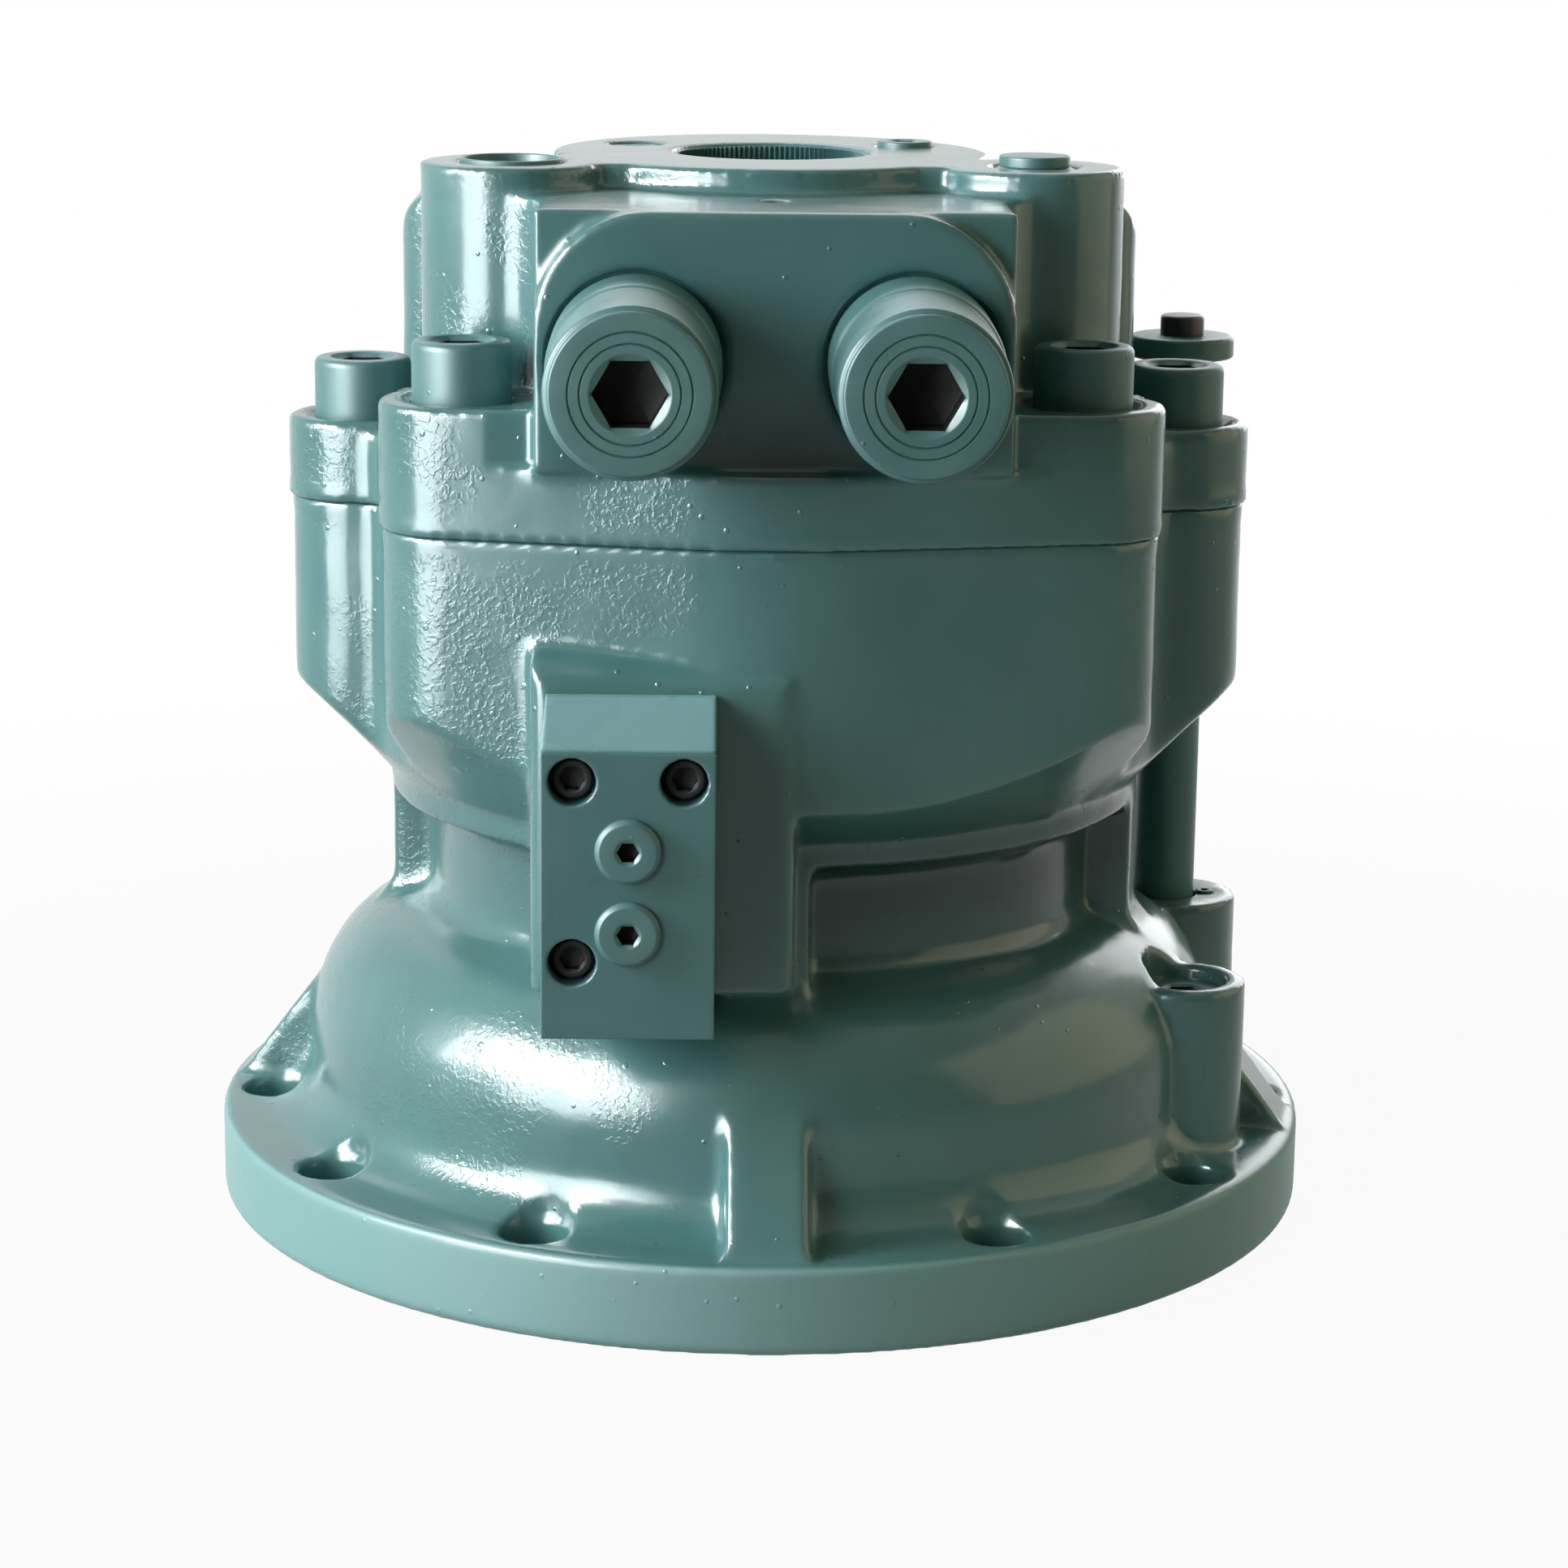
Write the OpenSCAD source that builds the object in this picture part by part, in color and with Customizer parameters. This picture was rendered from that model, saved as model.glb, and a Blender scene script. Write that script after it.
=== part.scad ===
// Hydraulic swing motor with a bell-shaped mounting casing and a bolted valve casing.
// Origin: centre of the flange's lower face. +Z points up the shaft, the front faces -Y.

/* [Mounting flange] */
// Outer radius of the flange
flange_r = 160; // [155:1:170]
// Thickness of the flange
flange_t = 25; // [20:0.5:30]
// Chamfer on both rims of the flange
flange_chamfer = 1.5; // [1:0.25:2.5]
// Distance of the flange holes from the flange's edge
hole_edge = 15; // [13:0.5:17]
// Radius of each flange hole
hole_r = 9; // [7:0.25:9.5]
// Radius of the scoop that clears each screw head in the bell's foot
scoop_r = 10.5; // [9.75:0.25:12]
// Depth of the screw seat round each flange hole
scoop_sink = 0.5; // [0.25:0.25:1]
// Angle of the first hole from the front
hole_first_a = 25.5; // [24:0.5:28]
// Angle from one hole to the next
hole_pitch_a = 31.5; // [30:0.5:32]
// Radius of the pilot recess under the flange
pilot_r = 125; // [122:0.5:126]
// Depth of the pilot recess
pilot_depth = 8; // [5:0.5:10]

/* [Bell] */
// Outer radius of the bell
bell_r = 133; // [130:0.5:135]
// Height at which the bell's wall turns into its crown
bell_side_z = 50; // [46:0.5:54]
// Wall of the bell
bell_wall = 13; // [10:0.5:14]
// Radius of the fillet between bell and flange
foot_fillet_r = 14; // [10:0.5:15]

/* [Neck and gussets] */
// Outer radius of the neck
neck_r = 97; // [95:0.5:99]
// Radius of the fillet where the neck stands on the bell
neck_fillet_r = 6; // [4:0.5:8]
// Outer radius of the bead round the top of the neck
bead_r = 109.5; // [108:0.5:112]
// Height of the bead's lower edge
bead_z = 119.5; // [117:0.5:121]
// Radius of the cove under the bead
bead_cove_r = 8; // [5:0.5:9]
// Width of each gusset
gusset_w = 23; // [18:0.5:26]
// Radius at which a gusset meets the flange
gusset_foot_r = 157; // [150:0.5:158]
// Height of the knee of a gusset
gusset_knee_z = 88; // [84:0.5:92]
// Angle of the left gusset from the front
gusset_left_a = 97; // [96:0.5:100]
// Angle of the right gusset from the front
gusset_right_a = 79.5; // [78:0.5:80]

/* [Casing joint and screws] */
// Radius of the round part of both casings at their joint
casing_r = 120; // [119:0.5:121]
// Height of the joint between the casings
joint_z = 209; // [206:0.5:212]
// Radius at which the lobes' underside meets the bead
undercut_low_r = 109.5; // [108:0.5:112]
// Height at which the lobes' underside meets the bead
undercut_low_z = 127; // [125:0.5:129]
// Radius at which the lobes' underside meets their outer face
undercut_high_r = 139; // [136:0.5:142]
// Height at which the lobes' underside meets their outer face
undercut_high_z = 158; // [154:0.5:162]
// Radius of the circle that the casing screws lie on
screw_circle_r = 118; // [117:0.5:119]
// Radius of the four corner lobes
lobe_r = 21.6; // [20:0.2:22]
// Radius of the two side lobes
side_lobe_r = 20; // [19:0.2:21]
// Angle of the corner lobes from the front
lobe_a = 45; // [44:0.5:46]
// Angle of the side lobes from the front
side_lobe_a = 76; // [75:0.5:77]
// Radius of the hollow between a lobe and the round casing
lobe_fillet_r = 8; // [5:0.5:9]
// How far the valve casing stands proud of the motor casing all round
joint_step = 1; // [0.4:0.1:1.5]
// Shank radius of the casing screws
screw_r = 9; // [8:0.25:9]
// Head radius of the casing screws
screw_head_r = 13.5; // [12:0.25:14]
// Head height of the casing screws
screw_head_h = 18; // [16:0.5:19]
// Width across flats of the casing screws' sockets
screw_socket_af = 14; // [12:0.5:14]
// Depth of the casing screws' thread below the joint
screw_grip = 34; // [28:1:38]
// Radius of the spot faces under the screw heads
spotface_r = 15.5; // [15:0.25:16]
// Depth of the spot faces
spotface_depth = 2.5; // [1.5:0.25:3]

/* [Casing bores] */
// Height of the lower face of the bearing housing
housing_z = 60; // [58:0.5:62]
// Outer radius of the bearing housing inside the bell
housing_r = 72; // [68:0.5:76]
// Radius of the shaft seal's bore
seal_bore_r = 36; // [35:0.25:38]
// Height of the ledge that carries the lower bearing
bearing_ledge_z = 72; // [71:0.5:73]
// Height of the floor that carries the swash plate
swash_floor_z = 99; // [98:0.25:100]
// Radius of the chamber round the swash plate
swash_chamber_r = 80; // [78:0.5:81]
// Height of the ledge that carries the brake plates
brake_ledge_z = 160; // [159:0.25:161]
// Radius of the bore that holds the brake plates
plate_bore_r = 90; // [89.5:0.25:91]
// Height at which the lower bore of the brake piston starts
piston_bore_z = 176; // [175.5:0.25:176.25]
// Radius of the lower bore of the brake piston
piston_low_bore_r = 94.5; // [94.3:0.1:95]
// Height at which the upper bore of the brake piston starts
piston_step_z = 188; // [187:0.25:189]
// Radius of the upper bore of the brake piston
piston_high_bore_r = 99; // [98:0.25:99.5]
// Radius of the ring groove in the joint face
joint_seal_r = 103.8; // [103:0.1:104.5]
// Radius of the joint seal's section
joint_seal_section_r = 1.5; // [1.2:0.1:1.8]

/* [Brake valve boss and base bosses] */
// Left edge of the brake valve boss
boss_left_x = -64; // [-66:0.5:-62]
// Right edge of the brake valve boss
boss_right_x = 7; // [5:0.5:9]
// Front face of the brake valve boss
boss_face_y = -122; // [-124:0.5:-121]
// Lower edge of the brake valve boss
boss_low_z = 88; // [85:0.5:90]
// Upper edge of the brake valve boss
boss_high_z = 181; // [178:0.5:184]
// Radius of the boss's rounded upper edge
boss_brow_r = 12; // [8:0.5:14]
// Radius of the boss's rounded upright edges
boss_edge_r = 5; // [3:0.5:7]
// Place of the plugged base boss, to the right
plug_boss_x = 120.5; // [119.5:0.5:121.5]
// Place of the plugged base boss, to the front
plug_boss_y = -46; // [-48:0.5:-45]
// Radius of the plugged base boss
plug_boss_r = 18; // [17:0.25:18.5]
// Height of the plugged base boss
plug_boss_z = 73; // [70:0.5:76]
// Radius of the plug in the base boss
base_plug_r = 11.8; // [11:0.1:12.2]
// Place of the gauge boss, to the right
gauge_boss_x = 127; // [126:0.25:127.5]
// Place of the gauge boss, to the rear
gauge_boss_y = 43; // [42:0.5:44]
// Radius of the gauge boss
gauge_boss_r = 19.2; // [18.4:0.2:20]
// Height of the gauge boss
gauge_boss_z = 75; // [71:0.5:77]

/* [Level gauge] */
// Outer radius of the gauge pipe
pipe_r = 9.3; // [8.5:0.1:9.6]
// Wall of the gauge pipe
pipe_wall = 1.5; // [1:0.1:2]
// Place of the gauge pipe, to the right
pipe_x = 124; // [123.75:0.25:125]
// Height of the gauge pipe's upper end
pipe_top_z = 240; // [236:1:246]
// Depth of the pipe's seat in its boss
pipe_seat = 14; // [10:0.5:18]
// Radius of the gauge's cap
cap_r = 15.5; // [14:0.25:15.5]
// Thickness of the gauge's cap
cap_t = 6.5; // [5:0.25:8]
// Radius of the knob on the cap
knob_r = 6.5; // [5:0.25:7.5]
// Height of the knob
knob_h = 6; // [4:0.25:8]
// Radius of the gauge rod
rod_r = 2.5; // [2:0.1:3]
// Height of the rod's lower end above the flange's face
rod_end_z = 6; // [4:0.5:10]

/* [Valve casing] */
// Rear edge of the corner lobes' seats
ear_rear_y = -63; // [-66:0.5:-60]
// Height of the band above the joint
band_h = 20; // [18:0.5:22]
// Height of the corner lobes' seats
corner_seat_z = 244; // [242:0.5:246]
// Height of the side lobes' seats
side_seat_z = 232; // [230.5:0.5:234]
// Height of the top deck
deck_z = 303.5; // [301:0.5:306]
// Radius of the deck round the top port
deck_r = 62; // [58:0.5:66]
// Front edge of the deck
deck_front_y = -48; // [-50:0.5:-46]
// Radius of the two corner columns
column_r = 25; // [24:0.25:26]
// Distance of the corner columns from the middle plane
column_x = 72; // [71:0.5:73]
// Place of the corner columns, to the front
column_y = -42; // [-43:0.5:-41]
// Radius of the hollow between a column and the front block
column_fillet_r = 12; // [8:0.5:13]
// Half the width of the front block and its pad
pad_half_w = 63; // [62:0.5:64]
// Front face of the front block
block_face_y = -108; // [-110:0.5:-106]
// Front face of the machined pad
pad_face_y = -115; // [-117:0.5:-113]
// Height of the front block and its pad
pad_top_z = 296.8; // [295:0.2:299]
// Radius of the pad's upper corners
pad_corner_r = 30; // [24:0.5:34]
// Half the width of the rear block
rear_half_w = 105.5; // [102:0.5:105.5]
// Front edge of the rear block
rear_block_y = -8; // [-9:0.5:-6]
// Rear edge of the rear block's wide part
rear_wide_y = 62; // [58:0.5:64]
// Height of the rear block
rear_top_z = 292; // [288:0.5:296]
// Radius of the rear block's corners
rear_corner_r = 12; // [9:0.5:14]
// Rear face of the port pad
port_face_y = 112; // [110:0.5:114]
// Half the width of the port pad
port_half_w = 70; // [69:0.5:71]
// Half the height of the port pad
port_half_h = 22; // [21:0.5:23]
// Radius of the tapped hole on the step behind the front pad
step_hole_r = 3.4; // [3:0.1:4]
// Depth of the tapped hole on the step
step_hole_depth = 14; // [12:0.5:18]

/* [Ports] */
// Height of the two main ports and their pad
port_z = 256; // [254:0.5:258]
// Distance of each main port from the middle plane
port_x = 34; // [33:0.5:35]
// Radius of each main port
port_r = 9.5; // [8:0.25:10]
// Distance between the flange screws of a port, across
port_bolt_w = 50.8; // [50:0.1:51]
// Distance between the flange screws of a port, upright
port_bolt_h = 23.8; // [23:0.1:24]
// Radius of the tapped holes round a port
port_bolt_r = 4.25; // [4:0.05:4.5]
// Depth of the tapped holes round a port
port_bolt_depth = 20; // [18:0.5:24]
// Radius of the port in the top deck
top_port_r = 28; // [27:0.25:29]
// Depth of the port in the top deck
top_port_depth = 40; // [36:0.5:42]
// Height of the ribbed liner in the top port
liner_h = 14; // [10:0.5:18]
// Wall of the liner over its ribs
liner_wall = 1.8; // [1.4:0.1:2.4]
// Number of ribs in the liner
liner_ribs = 110; // [80:2:120]

/* [Relief valves] */
// Height of the relief valves
relief_z = 258; // [257:0.5:259]
// Distance of each relief valve from the middle plane
relief_x = 36.5; // [36:0.25:37]
// Radius of a relief valve's head
relief_head_r = 22; // [21:0.25:22.5]
// Length of a relief valve's head in front of the pad
relief_reach = 62; // [58:1:64]
// Radius of the rear part of a relief valve's head
relief_collar_r = 22.8; // [22.6:0.1:23]
// Length of the rear part of a relief valve's head
relief_collar_l = 26; // [20:1:30]
// Radius of the sinking round each relief valve
relief_sink_r = 24; // [23.5:0.25:25]
// Depth of the sinking round each relief valve
relief_sink_depth = 3; // [2:0.25:4]
// Radius of a relief valve's screwed shank
relief_shank_r = 16.8; // [16:0.1:17.5]
// Radius of a relief valve's inner bore
relief_bore_r = 9.2; // [8.5:0.1:10]
// Width across flats of a relief valve's socket
relief_socket_af = 17; // [15:0.5:19]
// Depth of a relief valve's socket
relief_socket_depth = 12; // [9:0.5:14]
// Place of the relief seats' rear face
relief_seat_y = -50; // [-51:0.25:-49]
// Length of a relief seat
relief_seat_l = 12; // [10:0.25:14]
// Radius of the hole in a relief seat
relief_seat_hole_r = 6; // [5:0.1:6.5]
// Travel of a relief poppet
relief_lift = 3; // [2:0.25:4]

/* [Brake valve] */
// Left face of the brake valve block
block_left_x = -59.5; // [-60.5:0.25:-58.5]
// Width of the brake valve block
block_w = 45; // [43:0.5:47]
// Front face of the brake valve block
block_front_y = -158; // [-160:0.5:-156]
// Lower face of the brake valve block
block_low_z = 87; // [85:0.5:88]
// Height of the brake valve block's front face
block_h = 76; // [74:0.5:78]
// Rise of the block's sloping top from front to rear
block_rise = 8; // [5:0.5:10]
// Depth at which the block's top stops sloping
block_slope_share = 0.9; // [0.7:0.05:1]
// Radius of the counterbores for the block's screws
block_cbore_r = 6.2; // [6:0.1:6.8]
// Depth of the counterbores for the block's screws
block_cbore_depth = 9; // [8:0.25:11]
// Distance of the block's screws from its side faces
block_screw_inset = 8; // [7.5:0.25:9]
// Distance of the upper screws from the upper edge of the front face
block_screw_drop = 7.5; // [7.2:0.1:8.5]
// Distance of the lower screw below the upper ones
block_screw_pitch = 48; // [46:0.5:50]
// Radius of the block's plugs
block_plug_r = 8.7; // [8.2:0.1:9]
// Height of the upper plug above the block's lower face
block_plug_z = 50.5; // [49:0.5:52]
// Distance between the two plugs
block_plug_pitch = 22; // [21:0.5:24]
// Radius of the spool
spool_r = 5; // [4.5:0.1:5.4]
// Length of the spool
spool_l = 14; // [12:0.5:15]
// Travel of the spool
spool_travel = 4; // [3:0.25:5]

/* [Deck plugs and make-up valves] */
// Radius of the front deck plugs' sinking
deck_plug_r = 14.5; // [13:0.25:15.5]
// Radius of the proud head of the right front plug
proud_head_r = 9.8; // [9.5:0.1:11]
// Height of the proud head above the deck
proud_head_h = 3; // [2.5:0.25:4.5]
// Radius of the make-up valve bores
make_up_bore_r = 12; // [11:0.25:12.5]
// Height of the make-up valve seats
make_up_seat_z = 246; // [245:0.25:248]
// Radius of the hole below a make-up seat
make_up_hole_r = 7; // [6:0.25:8]
// Height of a make-up poppet
make_up_poppet_h = 20; // [18:0.5:24]
// Travel of a make-up poppet
make_up_lift = 5; // [4:0.25:6]
// Length of a front deck plug below the deck
deck_plug_l = 16; // [14:0.5:18]
// Distance of the rear deck plugs from the middle plane
rear_plug_x = 39; // [38:0.5:40]
// Place of the rear deck plugs, to the rear
rear_plug_y = 22; // [20:0.5:24]
// Radius of the rear deck plugs
rear_plug_r = 8; // [7:0.25:9]
// Length of the rear deck plugs below the deck
rear_plug_l = 10; // [8:0.5:12]

/* [Shaft and bearings] */
// Radius of the drive shaft at the lower bearing
shaft_r = 25; // [24.5:0.1:25.5]
// Tip radius of the output spline
spline_r = 22; // [21:0.25:23.5]
// Depth of the output spline's teeth
spline_depth = 2.5; // [2:0.1:3]
// Number of teeth of the output spline
spline_teeth = 20; // [16:1:24]
// Height of the shaft's lower end
shaft_low_z = 12; // [10:0.5:16]
// Height of the upper end of the output spline
spline_top_z = 54; // [50:0.5:57]
// Radius of the shaft's collar
collar_r = 28.5; // [27:0.25:29.5]
// Radius of the shaft inside the cylinder block
drive_r = 24; // [23:0.1:24.2]
// Radius of the shaft in the upper bearing
tail_r = 17.5; // [17:0.1:18]
// Height of the shaft's upper end
shaft_top_z = 238; // [236:0.5:240]
// Outer radius of the lower bearing
lower_bearing_r = 55; // [54:0.25:56]
// Number of rollers in the lower bearing
lower_rollers = 18; // [14:1:18]
// Outer radius of the upper bearing
upper_bearing_r = 31; // [30:0.25:32]
// Height of the upper bearing's lower face
upper_bearing_z = 211; // [210.5:0.25:212]
// Width of the upper bearing
upper_bearing_w = 18; // [16:0.5:19]
// Number of rollers in the upper bearing
upper_rollers = 12; // [10:1:12]
// Inner radius of the snap ring under the shaft seal
snap_ring_inner_r = 31; // [29:0.5:33]

/* [Rotating group] */
// Tilt of the swash plate
swash_tilt = 15; // [14:0.25:15.5]
// Height at which the swash plate's face crosses the shaft axis
swash_z = 120; // [119:0.25:121]
// Outer radius of the swash plate
swash_r = 70; // [68:0.5:72]
// Radius of the hole in the swash plate
swash_hole_r = 31; // [30.5:0.25:32]
// Number of pistons
piston_count = 9; // [7:2:9]
// Radius of the circle that the pistons lie on
piston_circle_r = 46; // [45.5:0.25:46.5]
// Radius of each piston
piston_r = 13; // [12:0.1:13.2]
// Length of a piston from its ball to its crown
piston_l = 50; // [48:0.25:51]
// Radius of a piston's ball
ball_r = 9; // [8:0.1:9.5]
// Radius of a piston's waist above its ball
waist_r = 6; // [5:0.1:6.5]
// Height of the balls' centres above the swash plate's face
ball_offset = 12; // [11.5:0.1:12.5]
// Radius of a shoe's foot
shoe_foot_r = 14; // [13.5:0.1:14.5]
// Thickness of a shoe's foot
shoe_foot_t = 6; // [5.5:0.1:6.3]
// Radius of a shoe's neck
shoe_neck_r = 12.2; // [11.8:0.1:12.4]
// Height of a shoe above the swash plate's face
shoe_h = 16.5; // [15:0.1:17]
// Outer radius of the retainer plate
retainer_r = 62; // [61:0.25:63]
// Thickness of the retainer plate
retainer_t = 4; // [3.5:0.1:4.5]
// Radius of the ball that centres the retainer plate
guide_ball_r = 30; // [29.5:0.1:30.2]
// Half the height of the guide ball
guide_ball_half_h = 11; // [9:0.25:12]
// Outer radius of the cylinder block
block_r = 67; // [66:0.25:67.5]
// Height of the cylinder block's lower face
barrel_low_z = 155; // [154.5:0.25:156]
// Depth of the cylinder bores
cylinder_depth = 42; // [41:0.25:43]
// Radius of the opening at the top of each cylinder
cylinder_port_r = 6; // [5:0.25:6.5]
// Depth of the spring chamber in the cylinder block
spring_chamber_depth = 15; // [13:0.5:17]
// Radius of the spring chamber in the cylinder block
spring_chamber_r = 31; // [30.5:0.1:31.2]
// Thickness of the valve plate
valve_plate_t = 4.5; // [4:0.1:5]
// Outer radius of the valve plate
valve_plate_r = 62; // [60:0.5:64]
// Half the width of the kidney slots
kidney_half_w = 5.5; // [5:0.1:6]
// Angle that each kidney slot covers
kidney_a = 120; // [110:5:130]

/* [Parking brake] */
// Thickness of each brake plate
plate_t = 3; // [2.8:0.05:3.1]
// Outer radius of the friction plates
friction_outer_r = 86; // [84:0.25:88]
// Inner radius of the separator plates
separator_inner_r = 71; // [70.5:0.25:73]
// Radius of the round lugs that hold the plates
lug_r = 3.7; // [3.2:0.1:4]
// Number of lugs on each plate
lug_count = 12; // [8:1:14]
// Inner radius of the brake piston
brake_piston_inner_r = 70; // [69:0.25:72]
// Height of the brake piston's upper face
brake_piston_top_z = 203; // [202:0.25:204]
// Number of brake springs
brake_spring_count = 10; // [8:1:12]
// Radius of the circle that the brake springs lie on
brake_spring_circle_r = 84.5; // [83:0.25:86]
// Radius of the pockets for the brake springs
brake_pocket_r = 6.4; // [6:0.1:6.8]
// Depth of the pockets for the brake springs
brake_pocket_depth = 16; // [14:0.5:18]

/* [Hidden] */

$fn = 96;
// Overrun of every cut past the face that it starts from
over = 1;
// Clearance between pieces that move or sit loosely
gap = 0.3;
// Clearance of a fitted pair, such as a shank in its bore
fit_gap = 0.12;
// How far a blend bites into the rounds that it joins
bite = 0.03;
// Paint, steel, bronze and rubber as they are seen
paint = "#5f8a86";
steel = "#8f9499";
bronze = "#a8834c";
rubber = "#23262a";

bell_inner_r = bell_r - bell_wall;
crown_r = bell_r - neck_r;
inner_crown_r = crown_r - bell_wall;
hole_circle_r = flange_r - hole_edge;
hole_angles = [for (k = [0:2]) hole_first_a + k * hole_pitch_a];
rear_hole_angles = [for (k = [0:1]) 180 - hole_first_a - k * hole_pitch_a];
band_z = joint_z + band_h;
pipe_y = gauge_boss_y;
cap_z = pipe_top_z + gap;
block_right_x = block_left_x + block_w;
block_mid_x = (block_left_x + block_right_x) / 2;
block_rear_y = boss_face_y;
block_top_z = block_low_z + block_h;
block_depth = block_rear_y - block_front_y;
relief_face_y = pad_face_y - relief_reach;
relief_sink_y = pad_face_y + relief_sink_depth;
relief_inner_y = relief_seat_y - relief_seat_l;
relief_poppet_l = 2 * relief_bore_r;
relief_poppet_y = relief_inner_y - relief_lift;
relief_spring_y = relief_inner_y - relief_poppet_l - gap;
relief_bore_end_y = relief_sink_y;
spool_bore_r = spool_r + fit_gap;
spool_stop_y = block_rear_y - spool_travel;
plug_shank_r = block_plug_r * 0.72;
plug_shank_l = block_plug_r;
plug_head_h = block_plug_r / 6;
barrel_top_z = joint_z - valve_plate_t - gap;
ball_z = swash_z + ball_offset / cos(swash_tilt);
cylinder_r = piston_r + fit_gap;
collar_low_z = swash_floor_z;
collar_high_z = swash_floor_z + collar_r / 6;
friction_inner_r = block_r + gap;
separator_outer_r = plate_bore_r - gap;
plate_pitch = plate_t + gap;
brake_piston_low_z = brake_ledge_z + 5 * plate_pitch;
brake_piston_low_r = piston_low_bore_r - gap;
brake_piston_high_r = piston_high_bore_r - gap;
brake_step_z = piston_step_z + lug_r / 2;
deck_plug_shank_z = deck_z - deck_plug_l;
make_up_cup_wall = make_up_bore_r / 5;

// Turns its children so that their +X looks out at angle a from the front
module at(a) {
    rotate([0, 0, a - 90]) children();
}

// Lays its children with their +Z towards -Y
module facing_front(x, y, z) {
    translate([x, y, z]) rotate([90, 0, 0]) children();
}

// Lays its children with their +Z towards +Y
module facing_rear(x, y, z) {
    translate([x, y, z]) rotate([-90, 0, 0]) children();
}

// Six-sided prism with the width af across its flats
module hexagon(af, h) {
    cylinder(r = af / sqrt(3), h = h, $fn = 6);
}

// Ring between two radii
module ring(outer, inner, h) {
    difference() {
        cylinder(r = outer, h = h);
        translate([0, 0, -over]) cylinder(r = inner, h = h + 2 * over);
    }
}

// Points of an arc in the plane, from angle a0 to angle a1
function arc(cx, cy, r, a0, a1, steps) =
    [for (k = [0:steps]) let (a = a0 + (a1 - a0) * k / steps) [cx + r * cos(a), cy + r * sin(a)]];

// Coil spring along Z, swept from wire of radius w
module coil(mean_r, w, h, turns, sides, steps) {
    rings = turns * steps;
    rise = h - 2 * w;
    path = [for (k = [0:rings]) let (a = 360 * k / steps)
        [mean_r * cos(a), mean_r * sin(a), w + rise * k / rings, a]];
    points = [for (p = path) for (j = [0:sides - 1]) let (b = 360 * (j + 0.5) / sides, e = w / cos(180 / sides))
        [p[0] + e * cos(b) * cos(p[3]), p[1] + e * cos(b) * sin(p[3]), p[2] + e * sin(b)]];
    walls = [for (k = [0:rings - 1]) for (j = [0:sides - 1]) let (n = (j + 1) % sides)
        each [[k * sides + j, k * sides + n, (k + 1) * sides + n],
              [k * sides + j, (k + 1) * sides + n, (k + 1) * sides + j]]];
    start = [for (j = [1:sides - 2]) [0, j + 1, j]];
    last = rings * sides;
    stop = [for (j = [1:sides - 2]) [last, last + j, last + j + 1]];
    polyhedron(points = points, faces = concat([for (f = walls) [f[0], f[2], f[1]]],
        [for (f = start) [f[0], f[2], f[1]]], [for (f = stop) [f[0], f[2], f[1]]]));
}

// Scrap outside a corner's round of radius r, with the corner at the origin
module corner_scrap(r) {
    difference() {
        translate([-r, -r]) square(r + over);
        translate([-r, -r]) circle(r = r);
    }
}

// Outline that the casings share

// Hollow of radius f between a round of radius r and a lobe of radius e at distance c
module lobe_hollow(r, c, e, f) {
    fx = (c * c + (r + f) * (r + f) - (e + f) * (e + f)) / (2 * c);
    fy = sqrt((r + f) * (r + f) - fx * fx);
    difference() {
        polygon([[0, 0], [c, 0], [fx, fy]]);
        translate([fx, fy]) circle(r = f + bite);
    }
}

// Straight side that touches a round of radius r and a lobe of radius e at distance c
module lobe_side(r, c, e) {
    t = acos((r - e) / c);
    polygon([[0, 0], [c, 0], [c + (e - bite) * cos(t), (e - bite) * sin(t)],
        [(r - bite) * cos(t), (r - bite) * sin(t)]]);
}

// Round casing with four corner lobes and two side lobes, grown by the length grow
module casing_outline(grow) {
    circle(r = casing_r + grow);
    for (side = [-1, 1], end = [0, 1]) mirror([side > 0 ? 0 : 1, 0]) mirror([0, end]) {
        at(lobe_a) {
            translate([screw_circle_r, 0]) circle(r = lobe_r + grow);
            lobe_hollow(casing_r + grow, screw_circle_r, lobe_r + grow, lobe_fillet_r);
            mirror([0, 1]) lobe_side(casing_r + grow, screw_circle_r, lobe_r + grow);
        }
    }
    for (side = [-1, 1]) at(side * side_lobe_a) {
        translate([screw_circle_r, 0]) circle(r = side_lobe_r + grow);
        for (m = [0, 1]) mirror([0, m])
            lobe_hollow(casing_r + grow, screw_circle_r, side_lobe_r + grow, lobe_fillet_r);
    }
}

// Casing screws: angle from the front, and height of the seat
screw_places = [for (side = [-1, 1]) each [[side * lobe_a, corner_seat_z],
    [side * side_lobe_a, side_seat_z], [side * (180 - lobe_a), corner_seat_z]]];

// Motor casing

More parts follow.
